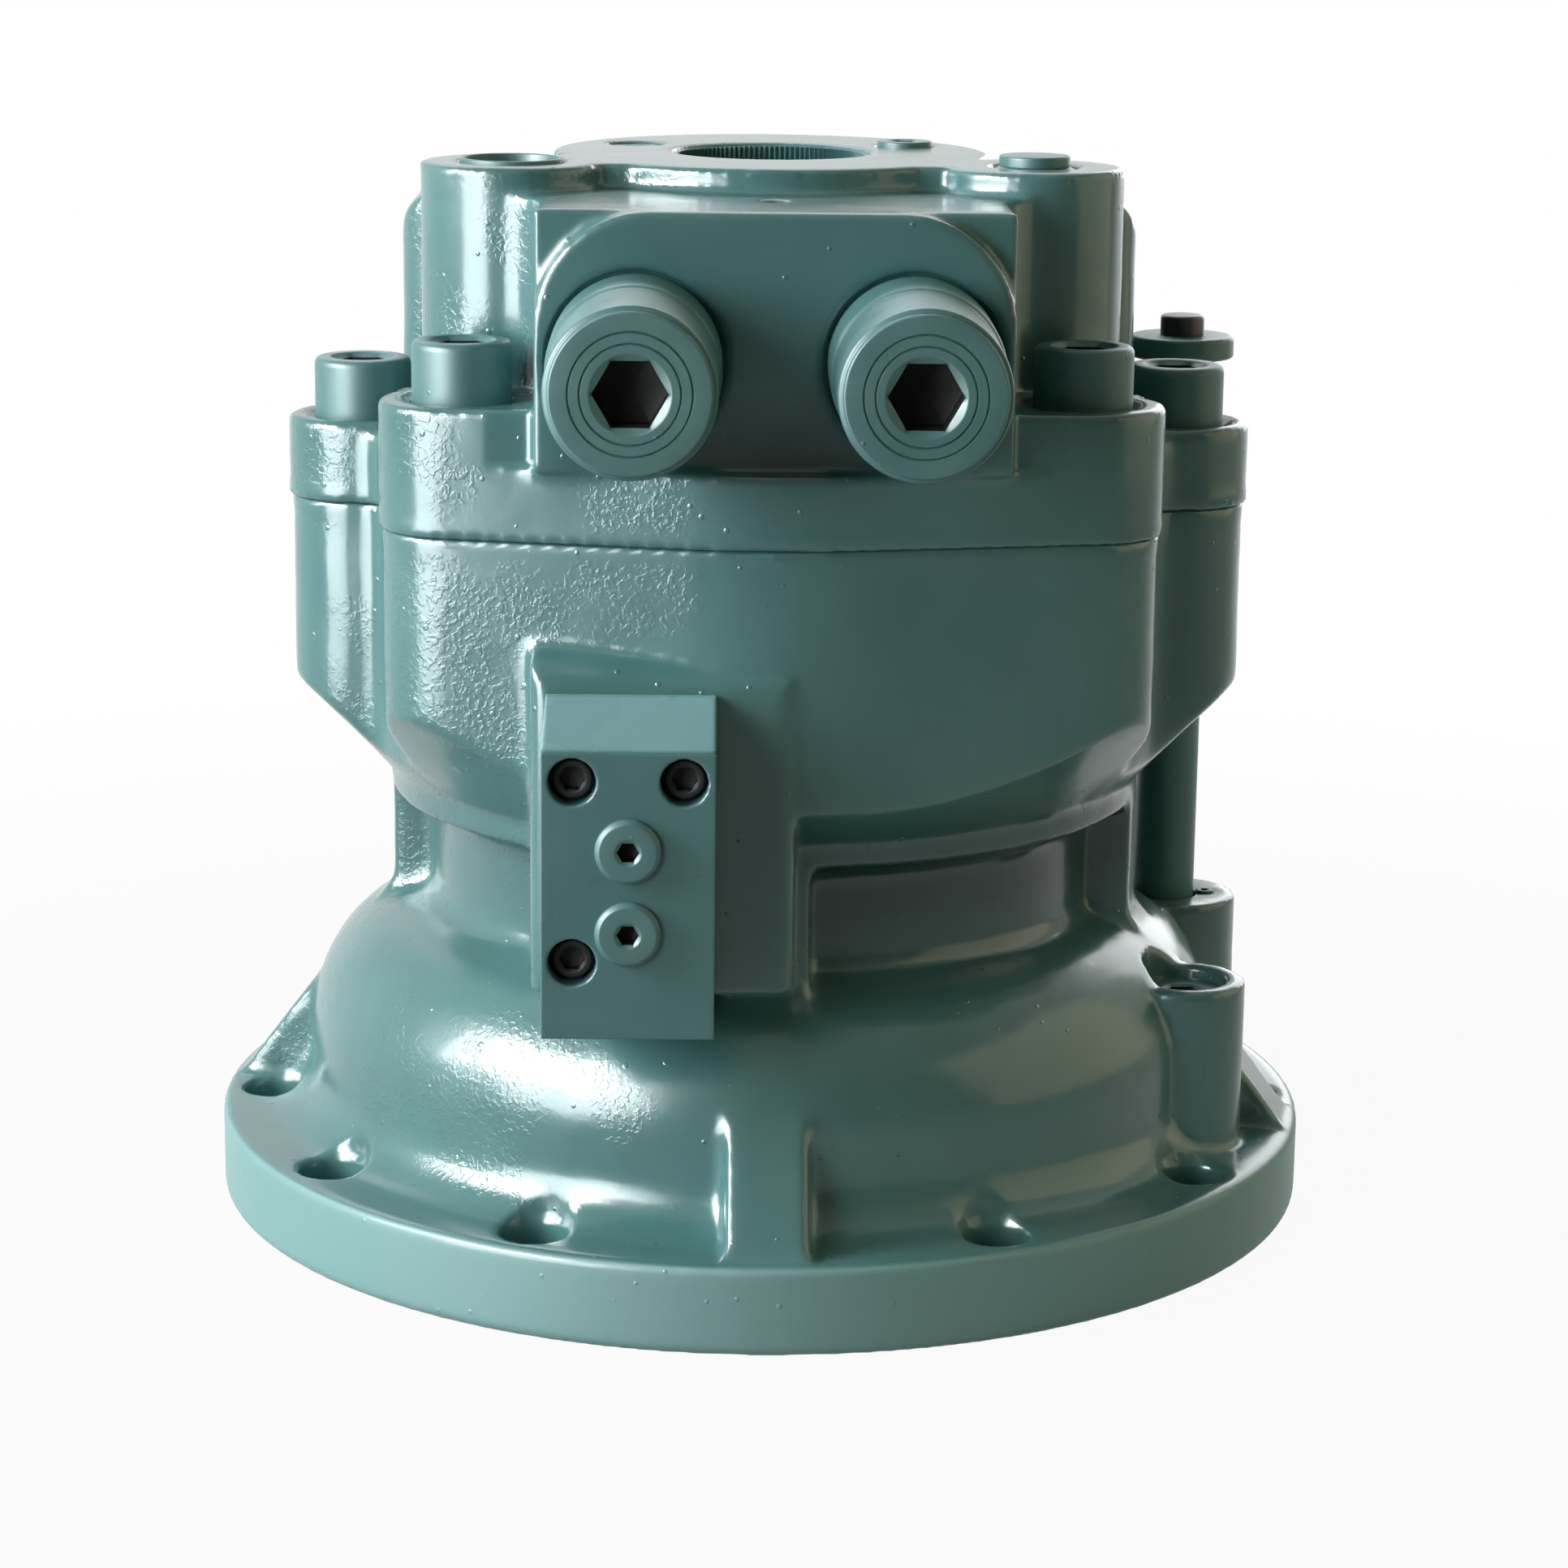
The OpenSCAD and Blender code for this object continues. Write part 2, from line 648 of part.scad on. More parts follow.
// Half section of the flange, the bell, the neck and its bead
module bell_section() {
    polygon([[0, 0], [flange_r - flange_chamfer, 0], [flange_r, flange_chamfer],
        [flange_r, flange_t - flange_chamfer], [flange_r - flange_chamfer, flange_t], [0, flange_t]]);
    square([bell_r, bell_side_z]);
    intersection() {
        translate([neck_r, bell_side_z]) circle(r = crown_r);
        square([bell_r, bell_side_z + crown_r]);
    }
    difference() {
        translate([0, flange_t]) square([bell_r + foot_fillet_r, foot_fillet_r]);
        translate([bell_r + foot_fillet_r, flange_t + foot_fillet_r]) circle(r = foot_fillet_r);
    }
    square([neck_r, bead_z]);
    difference() {
        translate([0, bell_side_z]) square([neck_r + neck_fillet_r, crown_r + neck_fillet_r]);
        translate([neck_r + neck_fillet_r, bell_side_z + crown_r + neck_fillet_r]) circle(r = neck_fillet_r);
        translate([neck_r, 0]) square([neck_fillet_r + over, bell_side_z + crown_r - neck_fillet_r]);
    }
    difference() {
        translate([0, bead_z - bead_cove_r]) square([neck_r + bead_cove_r, bead_cove_r]);
        translate([neck_r + bead_cove_r, bead_z - bead_cove_r]) circle(r = bead_cove_r);
    }
    translate([0, bead_z]) square([bead_r, undercut_low_z - bead_z + over]);
}

// Half section that trims the lobes to their tapered underside
module undercut_section() {
    polygon([[0, undercut_low_z], [undercut_low_r, undercut_low_z], [undercut_high_r, undercut_high_z],
        [undercut_high_r + lobe_r, undercut_high_z], [undercut_high_r + lobe_r, joint_z], [0, joint_z]]);
}

// Half section of everything that is bored out of the motor casing
module bore_section() {
    translate([0, -over]) square([pilot_r, pilot_depth + over]);
    difference() {
        union() {
            square([bell_inner_r, bell_side_z]);
            square([neck_r, bell_side_z + inner_crown_r]);
            translate([neck_r, bell_side_z]) circle(r = inner_crown_r);
        }
        translate([0, housing_z]) square([housing_r, joint_z]);
    }
    translate([0, -over]) square([seal_bore_r, joint_z]);
    translate([0, bearing_ledge_z]) square([lower_bearing_r, joint_z]);
    translate([0, swash_floor_z]) square([swash_chamber_r, joint_z]);
    translate([0, brake_ledge_z]) square([plate_bore_r, joint_z]);
    translate([0, piston_bore_z]) square([piston_low_bore_r, joint_z]);
    translate([0, piston_step_z]) square([piston_high_bore_r, joint_z]);
}

// One gusset between the flange and the bead, at angle a from the front
module gusset(a) {
    at(a) rotate([90, 0, 0]) linear_extrude(gusset_w, center = true)
        polygon([[swash_chamber_r, flange_t - over], [gusset_foot_r, flange_t - over],
            [gusset_foot_r, flange_t], [bead_r, gusset_knee_z], [bead_r, bead_z + over],
            [swash_chamber_r, bead_z + over]]);
}

// Boss that carries the brake valve block
module valve_boss() {
    intersection() {
        translate([boss_left_x, 0, 0]) rotate([90, 0, 90]) linear_extrude(boss_right_x - boss_left_x)
            polygon(concat([[0, boss_low_z], [boss_face_y, boss_low_z]],
                arc(boss_face_y + boss_brow_r, boss_high_z - boss_brow_r, boss_brow_r, 180, 90, 8),
                [[0, boss_high_z]]));
        linear_extrude(boss_high_z) difference() {
            translate([boss_left_x, boss_face_y]) square([boss_right_x - boss_left_x, -boss_face_y]);
            for (m = [0, 1]) translate([m ? boss_right_x : boss_left_x, boss_face_y]) mirror([1 - m, 0])
                mirror([0, 1]) corner_scrap(boss_edge_r);
        }
    }
}

module motor_casing() {
    color(paint) difference() {
        union() {
            rotate_extrude() bell_section();
            intersection() {
                translate([0, 0, undercut_low_z]) linear_extrude(joint_z - undercut_low_z) casing_outline(0);
                rotate_extrude() undercut_section();
            }
            for (a = [0, 180, gusset_right_a, -gusset_left_a]) gusset(a);
            valve_boss();
            translate([plug_boss_x, plug_boss_y, flange_t - over])
                cylinder(r = plug_boss_r, h = plug_boss_z - flange_t + over);
            translate([gauge_boss_x, gauge_boss_y, flange_t - over])
                cylinder(r = gauge_boss_r, h = gauge_boss_z - flange_t + over);
        }
        rotate_extrude() bore_section();
        for (side = [-1, 1], a = concat(hole_angles, rear_hole_angles)) at(side * a) {
            translate([hole_circle_r, 0, -over]) cylinder(r = hole_r, h = flange_t + 2 * over);
            translate([hole_circle_r, 0, flange_t - scoop_sink])
                cylinder(r = scoop_r, h = foot_fillet_r + scoop_sink);
        }
        for (p = screw_places) at(p[0]) translate([screw_circle_r, 0, joint_z - screw_grip - screw_r])
            cylinder(r = screw_r + fit_gap, h = screw_grip + screw_r + over);
        for (k = [0:lug_count - 1]) at(360 * k / lug_count) translate([plate_bore_r, 0, brake_ledge_z])
            cylinder(r = lug_r + gap, h = piston_bore_z - brake_ledge_z + over);
        translate([0, 0, joint_z - 2 * joint_seal_section_r])
            ring(joint_seal_r + joint_seal_section_r + gap, joint_seal_r - joint_seal_section_r - gap,
                2 * joint_seal_section_r + over);
        translate([plug_boss_x, plug_boss_y, plug_boss_z - base_plug_r / 2])
            cylinder(r = base_plug_r + fit_gap, h = base_plug_r);
        translate([plug_boss_x, plug_boss_y, plug_boss_z - 2 * base_plug_r])
            cylinder(r = base_plug_r * 0.7 + fit_gap, h = 2 * base_plug_r);
        translate([pipe_x, pipe_y, gauge_boss_z - pipe_seat])
            cylinder(r = pipe_r + fit_gap, h = pipe_seat + over);
        translate([pipe_x, pipe_y, -over]) cylinder(r = rod_r + 2 * gap, h = gauge_boss_z);
        translate([gauge_screw_x, gauge_boss_y, gauge_boss_z - gauge_screw_l])
            cylinder(r = gauge_screw_r + fit_gap, h = gauge_screw_l + over);
        for (p = block_screw_places) facing_front(p[0], boss_face_y + block_screw_bite, p[1])
            cylinder(r = block_screw_r + fit_gap, h = block_screw_bite + over);
    }
}

// Small screw beside the gauge pipe
gauge_screw_r = pipe_r / 4;
gauge_screw_x = pipe_x + pipe_r + 1.5 * gauge_screw_r;
gauge_screw_l = 4 * gauge_screw_r;

// Screws of the brake valve block: places in X and Z
block_screw_places = [
    [block_left_x + block_screw_inset, block_top_z - block_screw_drop],
    [block_right_x - block_screw_inset - fit_gap, block_top_z - block_screw_drop],
    [block_left_x + block_screw_inset, block_top_z - block_screw_drop - block_screw_pitch]];
block_screw_r = block_cbore_r * 0.6;
block_screw_head_r = block_cbore_r * 0.86;
block_screw_head_h = block_screw_head_r;
block_screw_bite = 3 * block_screw_r;

// Valve casing

// Half the outline of the rear block's wide part, seen from above
module rear_plan() {
    difference() {
        translate([-rear_half_w, rear_block_y]) square([2 * rear_half_w, rear_wide_y - rear_block_y]);
        for (m = [0, 1], e = [0, 1]) mirror([m, 0])
            translate([rear_half_w, e ? rear_wide_y : rear_block_y]) mirror([0, 1 - e]) corner_scrap(rear_corner_r);
    }
    translate([-port_half_w, 0]) square([2 * port_half_w, port_face_y - relief_sink_depth]);
}

// Front view of the rear block, with its rounded shoulders
module rear_front_view() {
    difference() {
        translate([-rear_half_w, joint_z]) square([2 * rear_half_w, rear_top_z - joint_z]);
        for (m = [0, 1]) mirror([m, 0]) translate([rear_half_w, rear_top_z]) corner_scrap(rear_corner_r);
    }
}

// Front view of a pad of half width w from z0 to z1, its upper corners of radius r1
module pad_view(w, z0, z1, r0, r1) {
    difference() {
        translate([-w, z0]) square([2 * w, z1 - z0]);
        for (m = [0, 1]) mirror([m, 0]) {
            translate([w, z1]) corner_scrap(r1);
            if (r0 > 0) translate([w, z0]) mirror([0, 1]) corner_scrap(r0);
        }
    }
}

// Deck seen from above: port round and corner columns
module deck_plan() {
    circle(r = deck_r);
    translate([-column_x, deck_front_y]) square([2 * column_x, -deck_front_y / 2]);
    for (side = [-1, 1]) translate([side * column_x, column_y]) circle(r = column_r);
}

// Front block seen from above, with the hollows that run into the columns
module front_block_plan() {
    translate([-pad_half_w, block_face_y]) square([2 * pad_half_w, -block_face_y]);
    fx = pad_half_w + column_fillet_r;
    reach = column_r + column_fillet_r;
    fy = column_y - sqrt(reach * reach - (fx - column_x) * (fx - column_x));
    for (m = [0, 1]) mirror([m, 0]) difference() {
        polygon([[0, fy], [fx, fy], [column_x, column_y], [0, column_y]]);
        translate([fx, fy]) circle(r = column_fillet_r + bite);
    }
}

// Slot that follows the circle of the pistons, centred on angle a from +X
module kidney(a, h) {
    rotate([0, 0, a - kidney_a / 2]) rotate_extrude(angle = kidney_a)
        translate([piston_circle_r - kidney_half_w, 0]) square([2 * kidney_half_w, h]);
}

// Place of the upright passage from a main port to its kidney slot
passage_y = sqrt(piston_circle_r * piston_circle_r - port_x * port_x);

module valve_casing() {
    color(paint) difference() {
        union() {
            translate([0, 0, joint_z]) linear_extrude(band_h) casing_outline(joint_step);
            intersection() {
                translate([0, 0, joint_z]) linear_extrude(corner_seat_z - joint_z) casing_outline(joint_step);
                for (m = [0, 1], e = [0, 1]) mirror([m, 0, 0]) mirror([0, e, 0])
                    translate([pad_half_w - column_fillet_r, block_face_y, joint_z])
                        cube([flange_r, -block_face_y + ear_rear_y, deck_z - joint_z]);
            }
            for (side = [-1, 1]) at(side * side_lobe_a) translate([0, 0, joint_z])
                linear_extrude(side_seat_z - joint_z) {
                    translate([screw_circle_r, 0]) circle(r = side_lobe_r + joint_step);
                    translate([swash_chamber_r, -side_lobe_r - joint_step])
                        square([screw_circle_r - swash_chamber_r, 2 * (side_lobe_r + joint_step)]);
                }
            translate([0, 0, joint_z]) linear_extrude(deck_z - joint_z) deck_plan();
            translate([0, 0, joint_z]) linear_extrude(pad_top_z - joint_z) front_block_plan();
            facing_front(0, block_face_y + over, 0) linear_extrude(block_face_y - pad_face_y + over)
                pad_view(pad_half_w, band_z - over, pad_top_z, 0, pad_corner_r);
            intersection() {
                translate([0, 0, joint_z]) linear_extrude(deck_z - joint_z) rear_plan();
                facing_rear(0, -flange_r, 0) mirror([0, 1, 0]) linear_extrude(2 * flange_r) rear_front_view();
            }
            facing_front(0, port_face_y, 0) linear_extrude(relief_sink_depth + over)
                pad_view(port_half_w, port_z - port_half_h, port_z + port_half_h, rear_corner_r, rear_corner_r);
        }
        for (p = screw_places) at(p[0]) translate([screw_circle_r, 0, 0]) {
            translate([0, 0, joint_z - over]) cylinder(r = screw_r + gap, h = deck_z - joint_z);
            translate([0, 0, p[1] - spotface_depth]) cylinder(r = spotface_r, h = deck_z - joint_z);
        }
        for (side = [-1, 1]) {
            facing_front(side * relief_x, relief_sink_y, relief_z)
                cylinder(r = relief_sink_r, h = relief_sink_depth + over);
            facing_front(side * relief_x, relief_seat_y, relief_z)
                cylinder(r = relief_shank_r + fit_gap, h = relief_seat_y - pad_face_y);
            facing_front(side * relief_x, relief_seat_y + relief_seat_l, relief_z)
                cylinder(r = relief_seat_hole_r, h = relief_seat_l + over);
            translate([side * column_x, column_y, make_up_seat_z])
                cylinder(r = make_up_bore_r, h = deck_z - make_up_seat_z + over);
            translate([side * column_x, column_y, make_up_seat_z - make_up_hole_r])
                cylinder(r = make_up_hole_r, h = 2 * make_up_hole_r);
            translate([side * rear_plug_x, rear_plug_y, deck_z - rear_plug_l])
                cylinder(r = rear_plug_r + fit_gap, h = rear_plug_l + over);
            facing_rear(side * port_x, passage_y, port_z) cylinder(r = port_r, h = port_face_y);
            translate([side * port_x, passage_y, joint_z]) cylinder(r = port_r - over, h = port_z - joint_z);
            for (u = [-1, 1], v = [-1, 1])
                facing_rear(side * port_x + u * port_bolt_w / 2, port_face_y - port_bolt_depth,
                    port_z + v * port_bolt_h / 2) cylinder(r = port_bolt_r, h = port_bolt_depth + over);
            translate([0, 0, joint_z - over]) kidney(side > 0 ? 0 : 180, valve_plate_t + over);
        }
        translate([-column_x, column_y, deck_z - deck_plug_r / 3]) cylinder(r = deck_plug_r, h = deck_plug_r);
        translate([0, 0, deck_z - top_port_depth]) cylinder(r = top_port_r, h = top_port_depth + over);
        translate([0, (block_face_y + deck_front_y) / 2, pad_top_z - step_hole_depth])
            cylinder(r = step_hole_r, h = step_hole_depth + over);
        translate([0, 0, joint_z - over])
            cylinder(r = upper_bearing_r + fit_gap, h = upper_bearing_z - joint_z + upper_bearing_w + gap + over);
        translate([0, 0, joint_z]) cylinder(r = tail_r + 3 * over, h = shaft_top_z - joint_z + over);
    }
}

module casing_seal() {
    color(rubber) rotate_extrude() translate([joint_seal_r, joint_z - joint_seal_section_r])
        circle(r = joint_seal_section_r - fit_gap / 2, $fn = 32);
}

// One casing screw whose head sits at height z
module casing_screw(z) {
    difference() {
        union() {
            translate([0, 0, joint_z - screw_grip]) cylinder(r = screw_r, h = z - joint_z + screw_grip + over);
            translate([0, 0, z]) cylinder(r = screw_head_r, h = screw_head_h - over);
            translate([0, 0, z + screw_head_h - over])
                cylinder(r1 = screw_head_r, r2 = screw_head_r - over, h = over);
        }
        translate([0, 0, z + screw_head_h / 2]) hexagon(screw_socket_af, screw_head_h);
    }
}

module casing_screws() {
    color(paint) for (p = screw_places)
        at(p[0]) translate([screw_circle_r, 0, 0]) casing_screw(p[1] - spotface_depth);
}

// Relief valves

// One relief valve's screwed cartridge
module relief_valve(side) {
    color(paint) facing_front(side * relief_x, 0, relief_z) difference() {
        union() {
            translate([0, 0, -relief_sink_y])
                cylinder(r = relief_head_r, h = relief_reach + relief_sink_depth - over);
            translate([0, 0, -relief_face_y - over])
                cylinder(r1 = relief_head_r, r2 = relief_head_r - over, h = over);
            translate([0, 0, -relief_sink_y]) cylinder(r = relief_collar_r, h = relief_collar_l);
            translate([0, 0, -relief_inner_y]) cylinder(r = relief_shank_r, h = relief_inner_y - relief_sink_y + over);
        }
        translate([0, 0, -relief_face_y - relief_socket_depth]) hexagon(relief_socket_af, relief_socket_depth + over);
        for (share = relief_groove_shares) translate([0, 0, -relief_face_y - relief_groove_depth])
            ring(relief_head_r * share + relief_groove_w / 2, relief_head_r * share - relief_groove_w / 2,
                relief_groove_depth + over);
        translate([0, 0, -relief_inner_y - over]) cylinder(r = relief_bore_r, h = relief_inner_y - relief_bore_end_y + over);
    }
}

// Fine turned grooves in a relief valve's face, as shares of its radius
relief_groove_shares = [0.58, 0.75];
relief_groove_w = relief_head_r / 40;
relief_groove_depth = relief_head_r / 40;

module relief_valve_left() relief_valve(-1);
module relief_valve_right() relief_valve(1);

module relief_seats() {
    color(steel) for (side = [-1, 1]) facing_front(side * relief_x, 0, relief_z) difference() {
        translate([0, 0, -relief_seat_y]) cylinder(r = relief_shank_r, h = relief_seat_l - gap);
        translate([0, 0, -relief_seat_y - over]) cylinder(r = relief_seat_hole_r, h = relief_seat_l + 2 * over);
        translate([0, 0, -relief_inner_y - gap - relief_nose_l])
            cylinder(r1 = relief_seat_hole_r, r2 = relief_seat_hole_r + relief_nose_l, h = relief_nose_l);
        translate([0, 0, -relief_inner_y - gap - over / 2])
            cylinder(r = relief_seat_hole_r + relief_nose_l, h = over);
    }
}

relief_nose_l = relief_bore_r / 4;

// One relief poppet: a sliding body with a tapered nose towards its seat
module relief_poppet(side) {
    color(steel) facing_front(side * relief_x, 0, relief_z) difference() {
        union() {
            translate([0, 0, -relief_inner_y]) cylinder(r = relief_bore_r - fit_gap, h = relief_poppet_l);
            translate([0, 0, -relief_inner_y - relief_nose_l])
                cylinder(r1 = relief_seat_hole_r - gap, r2 = relief_seat_hole_r + relief_nose_l - gap, h = relief_nose_l);
        }
        translate([0, 0, -relief_inner_y + relief_poppet_l / 2]) cylinder(r = relief_bore_r / 3, h = relief_poppet_l);
    }
}

module relief_poppet_left() relief_poppet(-1);
module relief_poppet_right() relief_poppet(1);

module relief_spring(side) {
    l = relief_spring_y - relief_bore_end_y - gap;
    color(steel) facing_front(side * relief_x, relief_spring_y, relief_z)
        coil(relief_bore_r * 0.7, relief_bore_r / 7, l, 5, 5, 10);
}

module relief_spring_left() relief_spring(-1);
module relief_spring_right() relief_spring(1);

// Brake valve

module brake_valve_block() {
    color(paint) difference() {
        translate([block_left_x, 0, 0]) rotate([90, 0, 90]) linear_extrude(block_w)
            polygon([[block_front_y, block_low_z], [block_rear_y, block_low_z],
                [block_rear_y, block_top_z + block_rise],
                [block_front_y + block_depth * block_slope_share, block_top_z + block_rise],
                [block_front_y, block_top_z]]);
        for (p = block_screw_places) {
            facing_front(p[0], block_front_y + block_cbore_depth, p[1])
                cylinder(r = block_cbore_r, h = block_cbore_depth + over);
            facing_front(p[0], block_rear_y + over, p[1])
                cylinder(r = block_screw_r + fit_gap, h = block_depth + over);
        }
        for (k = [0, 1]) {
            facing_front(block_mid_x, block_rear_y - spool_travel, block_low_z + block_plug_z - k * block_plug_pitch)
                cylinder(r = spool_bore_r, h = block_depth);
            facing_front(block_mid_x, block_front_y + plug_shank_l, block_low_z + block_plug_z - k * block_plug_pitch)
                cylinder(r = plug_shank_r + fit_gap, h = plug_shank_l + over);
        }
    }
}

module brake_valve_screws() {
    color(paint) for (p = block_screw_places) facing_front(p[0], 0, p[1]) difference() {
        union() {
            translate([0, 0, -boss_face_y - block_screw_bite + gap])
                cylinder(r = block_screw_r, h = block_depth - block_cbore_depth + block_screw_bite);
            translate([0, 0, -block_front_y - block_cbore_depth])
                cylinder(r = block_screw_head_r, h = block_screw_head_h);
        }
        translate([0, 0, -block_front_y - block_cbore_depth + block_screw_head_h / 2])
            hexagon(block_screw_head_r, block_screw_head_h);
    }
}

module brake_valve_plugs() {
    color(paint) for (k = [0, 1])
        facing_front(block_mid_x, 0, block_low_z + block_plug_z - k * block_plug_pitch) difference() {
            union() {
                translate([0, 0, -block_front_y - plug_shank_l + gap]) cylinder(r = plug_shank_r, h = plug_shank_l);
                translate([0, 0, -block_front_y]) cylinder(r = block_plug_r, h = plug_head_h);
            }
            translate([0, 0, -block_front_y - plug_shank_l / 2]) hexagon(block_plug_r * 0.7, 2 * plug_shank_l);
            translate([0, 0, -block_front_y + plug_head_h / 2])
                ring(block_plug_r * 0.62, block_plug_r * 0.54, plug_head_h);
        }
}

module brake_valve_spool() {
    color(steel) facing_front(block_mid_x, 0, block_low_z + block_plug_z) difference() {
        translate([0, 0, -spool_stop_y + gap]) cylinder(r = spool_r, h = spool_l);
        translate([0, 0, -spool_stop_y + gap + spool_l / 3]) ring(spool_r + over, spool_r * 0.7, spool_l / 5);
    }
}

module brake_valve_spring() {
    y0 = spool_stop_y - spool_l - 2 * gap;
    l = y0 - block_front_y - plug_shank_l;
    color(steel) facing_front(block_mid_x, y0, block_low_z + block_plug_z)
        coil(spool_r * 0.7, spool_r / 9, l, 4, 4, 8);
}

// Deck plugs, make-up valves and the top port

// Sunk plug with a raised rim
module deck_plug_front_left() {
    color(paint) translate([-column_x, column_y, 0]) difference() {
        union() {
            translate([0, 0, deck_plug_shank_z]) cylinder(r = make_up_bore_r - fit_gap, h = deck_plug_l);
            translate([0, 0, deck_z - deck_plug_r / 3]) cylinder(r = deck_plug_r - fit_gap, h = deck_plug_r / 3 + over);
        }
        translate([0, 0, deck_z - deck_plug_r / 6]) cylinder(r = deck_plug_r * 0.74, h = deck_plug_r);
        translate([0, 0, deck_z - deck_plug_r / 2]) hexagon(deck_plug_r * 0.7, deck_plug_r);
    }
}

// Plug whose flat head stands proud of the deck
module deck_plug_front_right() {
    color(paint) translate([column_x, column_y, 0]) {
        translate([0, 0, deck_plug_shank_z]) cylinder(r = make_up_bore_r - fit_gap, h = deck_plug_l);
        translate([0, 0, deck_z - over]) cylinder(r = proud_head_r, h = proud_head_h + over);
    }
}

module deck_plug_rear_left() {
    color(paint) translate([-rear_plug_x, rear_plug_y, deck_z - rear_plug_l]) difference() {
        cylinder(r = rear_plug_r, h = rear_plug_l - over);
        translate([0, 0, rear_plug_l / 2]) hexagon(rear_plug_r, rear_plug_l);
    }
}

module deck_plug_rear_right() {
    color(paint) translate([rear_plug_x, rear_plug_y, deck_z - rear_plug_l]) difference() {
        cylinder(r = rear_plug_r, h = rear_plug_l + proud_head_h / 2);
        translate([0, 0, rear_plug_l / 2]) hexagon(rear_plug_r, rear_plug_l);
    }
}

// Liner with fine upright ribs on its inner wall
module port_liner() {
    tip_r = top_port_r - liner_wall;
    root_r = top_port_r - liner_wall / 2;
    color(paint) translate([0, 0, deck_z - over - liner_h]) difference() {
        cylinder(r = top_port_r - fit_gap, h = liner_h);
        translate([0, 0, -over]) linear_extrude(liner_h + 2 * over)
            polygon([for (k = [0:2 * liner_ribs - 1]) let (a = 180 * k / liner_ribs, r = k % 2 ? tip_r : root_r)
                [r * cos(a), r * sin(a)]]);
    }
}

module make_up_poppet(side) {
    color(steel) translate([side * column_x, column_y, make_up_seat_z + gap]) difference() {
        union() {
            cylinder(r = make_up_bore_r - fit_gap, h = make_up_poppet_h);
            translate([0, 0, -make_up_cup_wall])
                cylinder(r1 = make_up_hole_r - make_up_cup_wall, r2 = make_up_hole_r - gap, h = make_up_cup_wall);
        }
        translate([0, 0, make_up_poppet_h / 2]) cylinder(r = make_up_bore_r - make_up_cup_wall, h = make_up_poppet_h);
    }
}

module make_up_poppet_left() make_up_poppet(-1);
module make_up_poppet_right() make_up_poppet(1);

module make_up_spring(side) {
    z0 = make_up_seat_z + make_up_poppet_h / 2 + 2 * gap;
    color(steel) translate([side * column_x, column_y, z0])
        coil(make_up_bore_r * 0.6, make_up_bore_r / 12, deck_plug_shank_z - z0 - gap, 5, 4, 8);
}

module make_up_spring_left() make_up_spring(-1);
module make_up_spring_right() make_up_spring(1);

// Base plug and level gauge

module base_plug() {
    color(paint) translate([plug_boss_x, plug_boss_y, plug_boss_z]) difference() {
        union() {
            translate([0, 0, -base_plug_r / 2]) cylinder(r = base_plug_r, h = base_plug_r / 6);
            translate([0, 0, -base_plug_r * 1.8]) cylinder(r = base_plug_r * 0.7, h = base_plug_r * 1.4);
        }
        translate([0, 0, -base_plug_r]) hexagon(base_plug_r * 0.8, base_plug_r);
    }
}

module gauge_pipe() {
    color(paint) translate([pipe_x, pipe_y, gauge_boss_z - pipe_seat + gap])
        ring(pipe_r, pipe_r - pipe_wall, pipe_top_z - gauge_boss_z + pipe_seat - gap);
}

module gauge_boss_screw() {
    color(paint) translate([gauge_screw_x, gauge_boss_y, gauge_boss_z - gauge_screw_l + gap]) difference() {
        cylinder(r = gauge_screw_r, h = gauge_screw_l);
        translate([0, 0, gauge_screw_l / 2]) hexagon(gauge_screw_r, gauge_screw_l);
    }
}

// Cap, knob and rod, which lift out of the pipe together
module level_gauge() {
    color(steel) translate([pipe_x, pipe_y, 0]) {
        translate([0, 0, cap_z]) cylinder(r = cap_r, h = cap_t);
        translate([0, 0, cap_z + cap_t - over]) cylinder(r = knob_r, h = knob_h + over);
        translate([0, 0, cap_z - pipe_r]) cylinder(r = pipe_r - pipe_wall - gap, h = pipe_r + over);
        translate([0, 0, rod_end_z]) cylinder(r = rod_r, h = cap_z - rod_end_z);
    }
}

// Shaft and bearings

module drive_shaft() {
    root_r = spline_r - spline_depth;
    color(steel) {
        translate([0, 0, shaft_low_z]) linear_extrude(spline_top_z - shaft_low_z)
            polygon([for (k = [0:spline_teeth - 1], p = spline_tooth_shares)
                let (a = 360 * (k + p[0]) / spline_teeth, r = root_r + spline_depth * p[1]) [r * cos(a), r * sin(a)]]);
        translate([0, 0, spline_top_z]) cylinder(r = shaft_r, h = swash_floor_z - spline_top_z);
        translate([0, 0, collar_low_z]) cylinder(r = collar_r, h = collar_high_z - collar_low_z);
        translate([0, 0, collar_low_z]) cylinder(r = drive_r, h = barrel_top_z - collar_low_z);
        translate([0, 0, barrel_top_z - over]) cylinder(r = tail_r, h = shaft_top_z - barrel_top_z + over);
    }
}

// One tooth of a spline: shares of the pitch and of the depth
spline_tooth_shares = [[0, 0], [0.25, 0], [0.38, 1], [0.87, 1]];

module shaft_seal() {
    h = bearing_ledge_z - housing_z;
    color(rubber) translate([0, 0, housing_z + h / 4]) rotate_extrude()
        polygon([[seal_bore_r - fit_gap, 0], [seal_bore_r - fit_gap, h * 0.6], [shaft_r + h / 4, h * 0.6],
            [shaft_r + gap, h / 4], [shaft_r + h / 6, 0]]);
}

module snap_ring() {
    t = (bearing_ledge_z - housing_z) / 6;
    color(steel) translate([0, 0, housing_z + t / 4]) difference() {
        ring(seal_bore_r - fit_gap, snap_ring_inner_r, t);
        translate([0, -t, -over]) cube([2 * seal_bore_r, 2 * t, t + 2 * over]);
    }
}

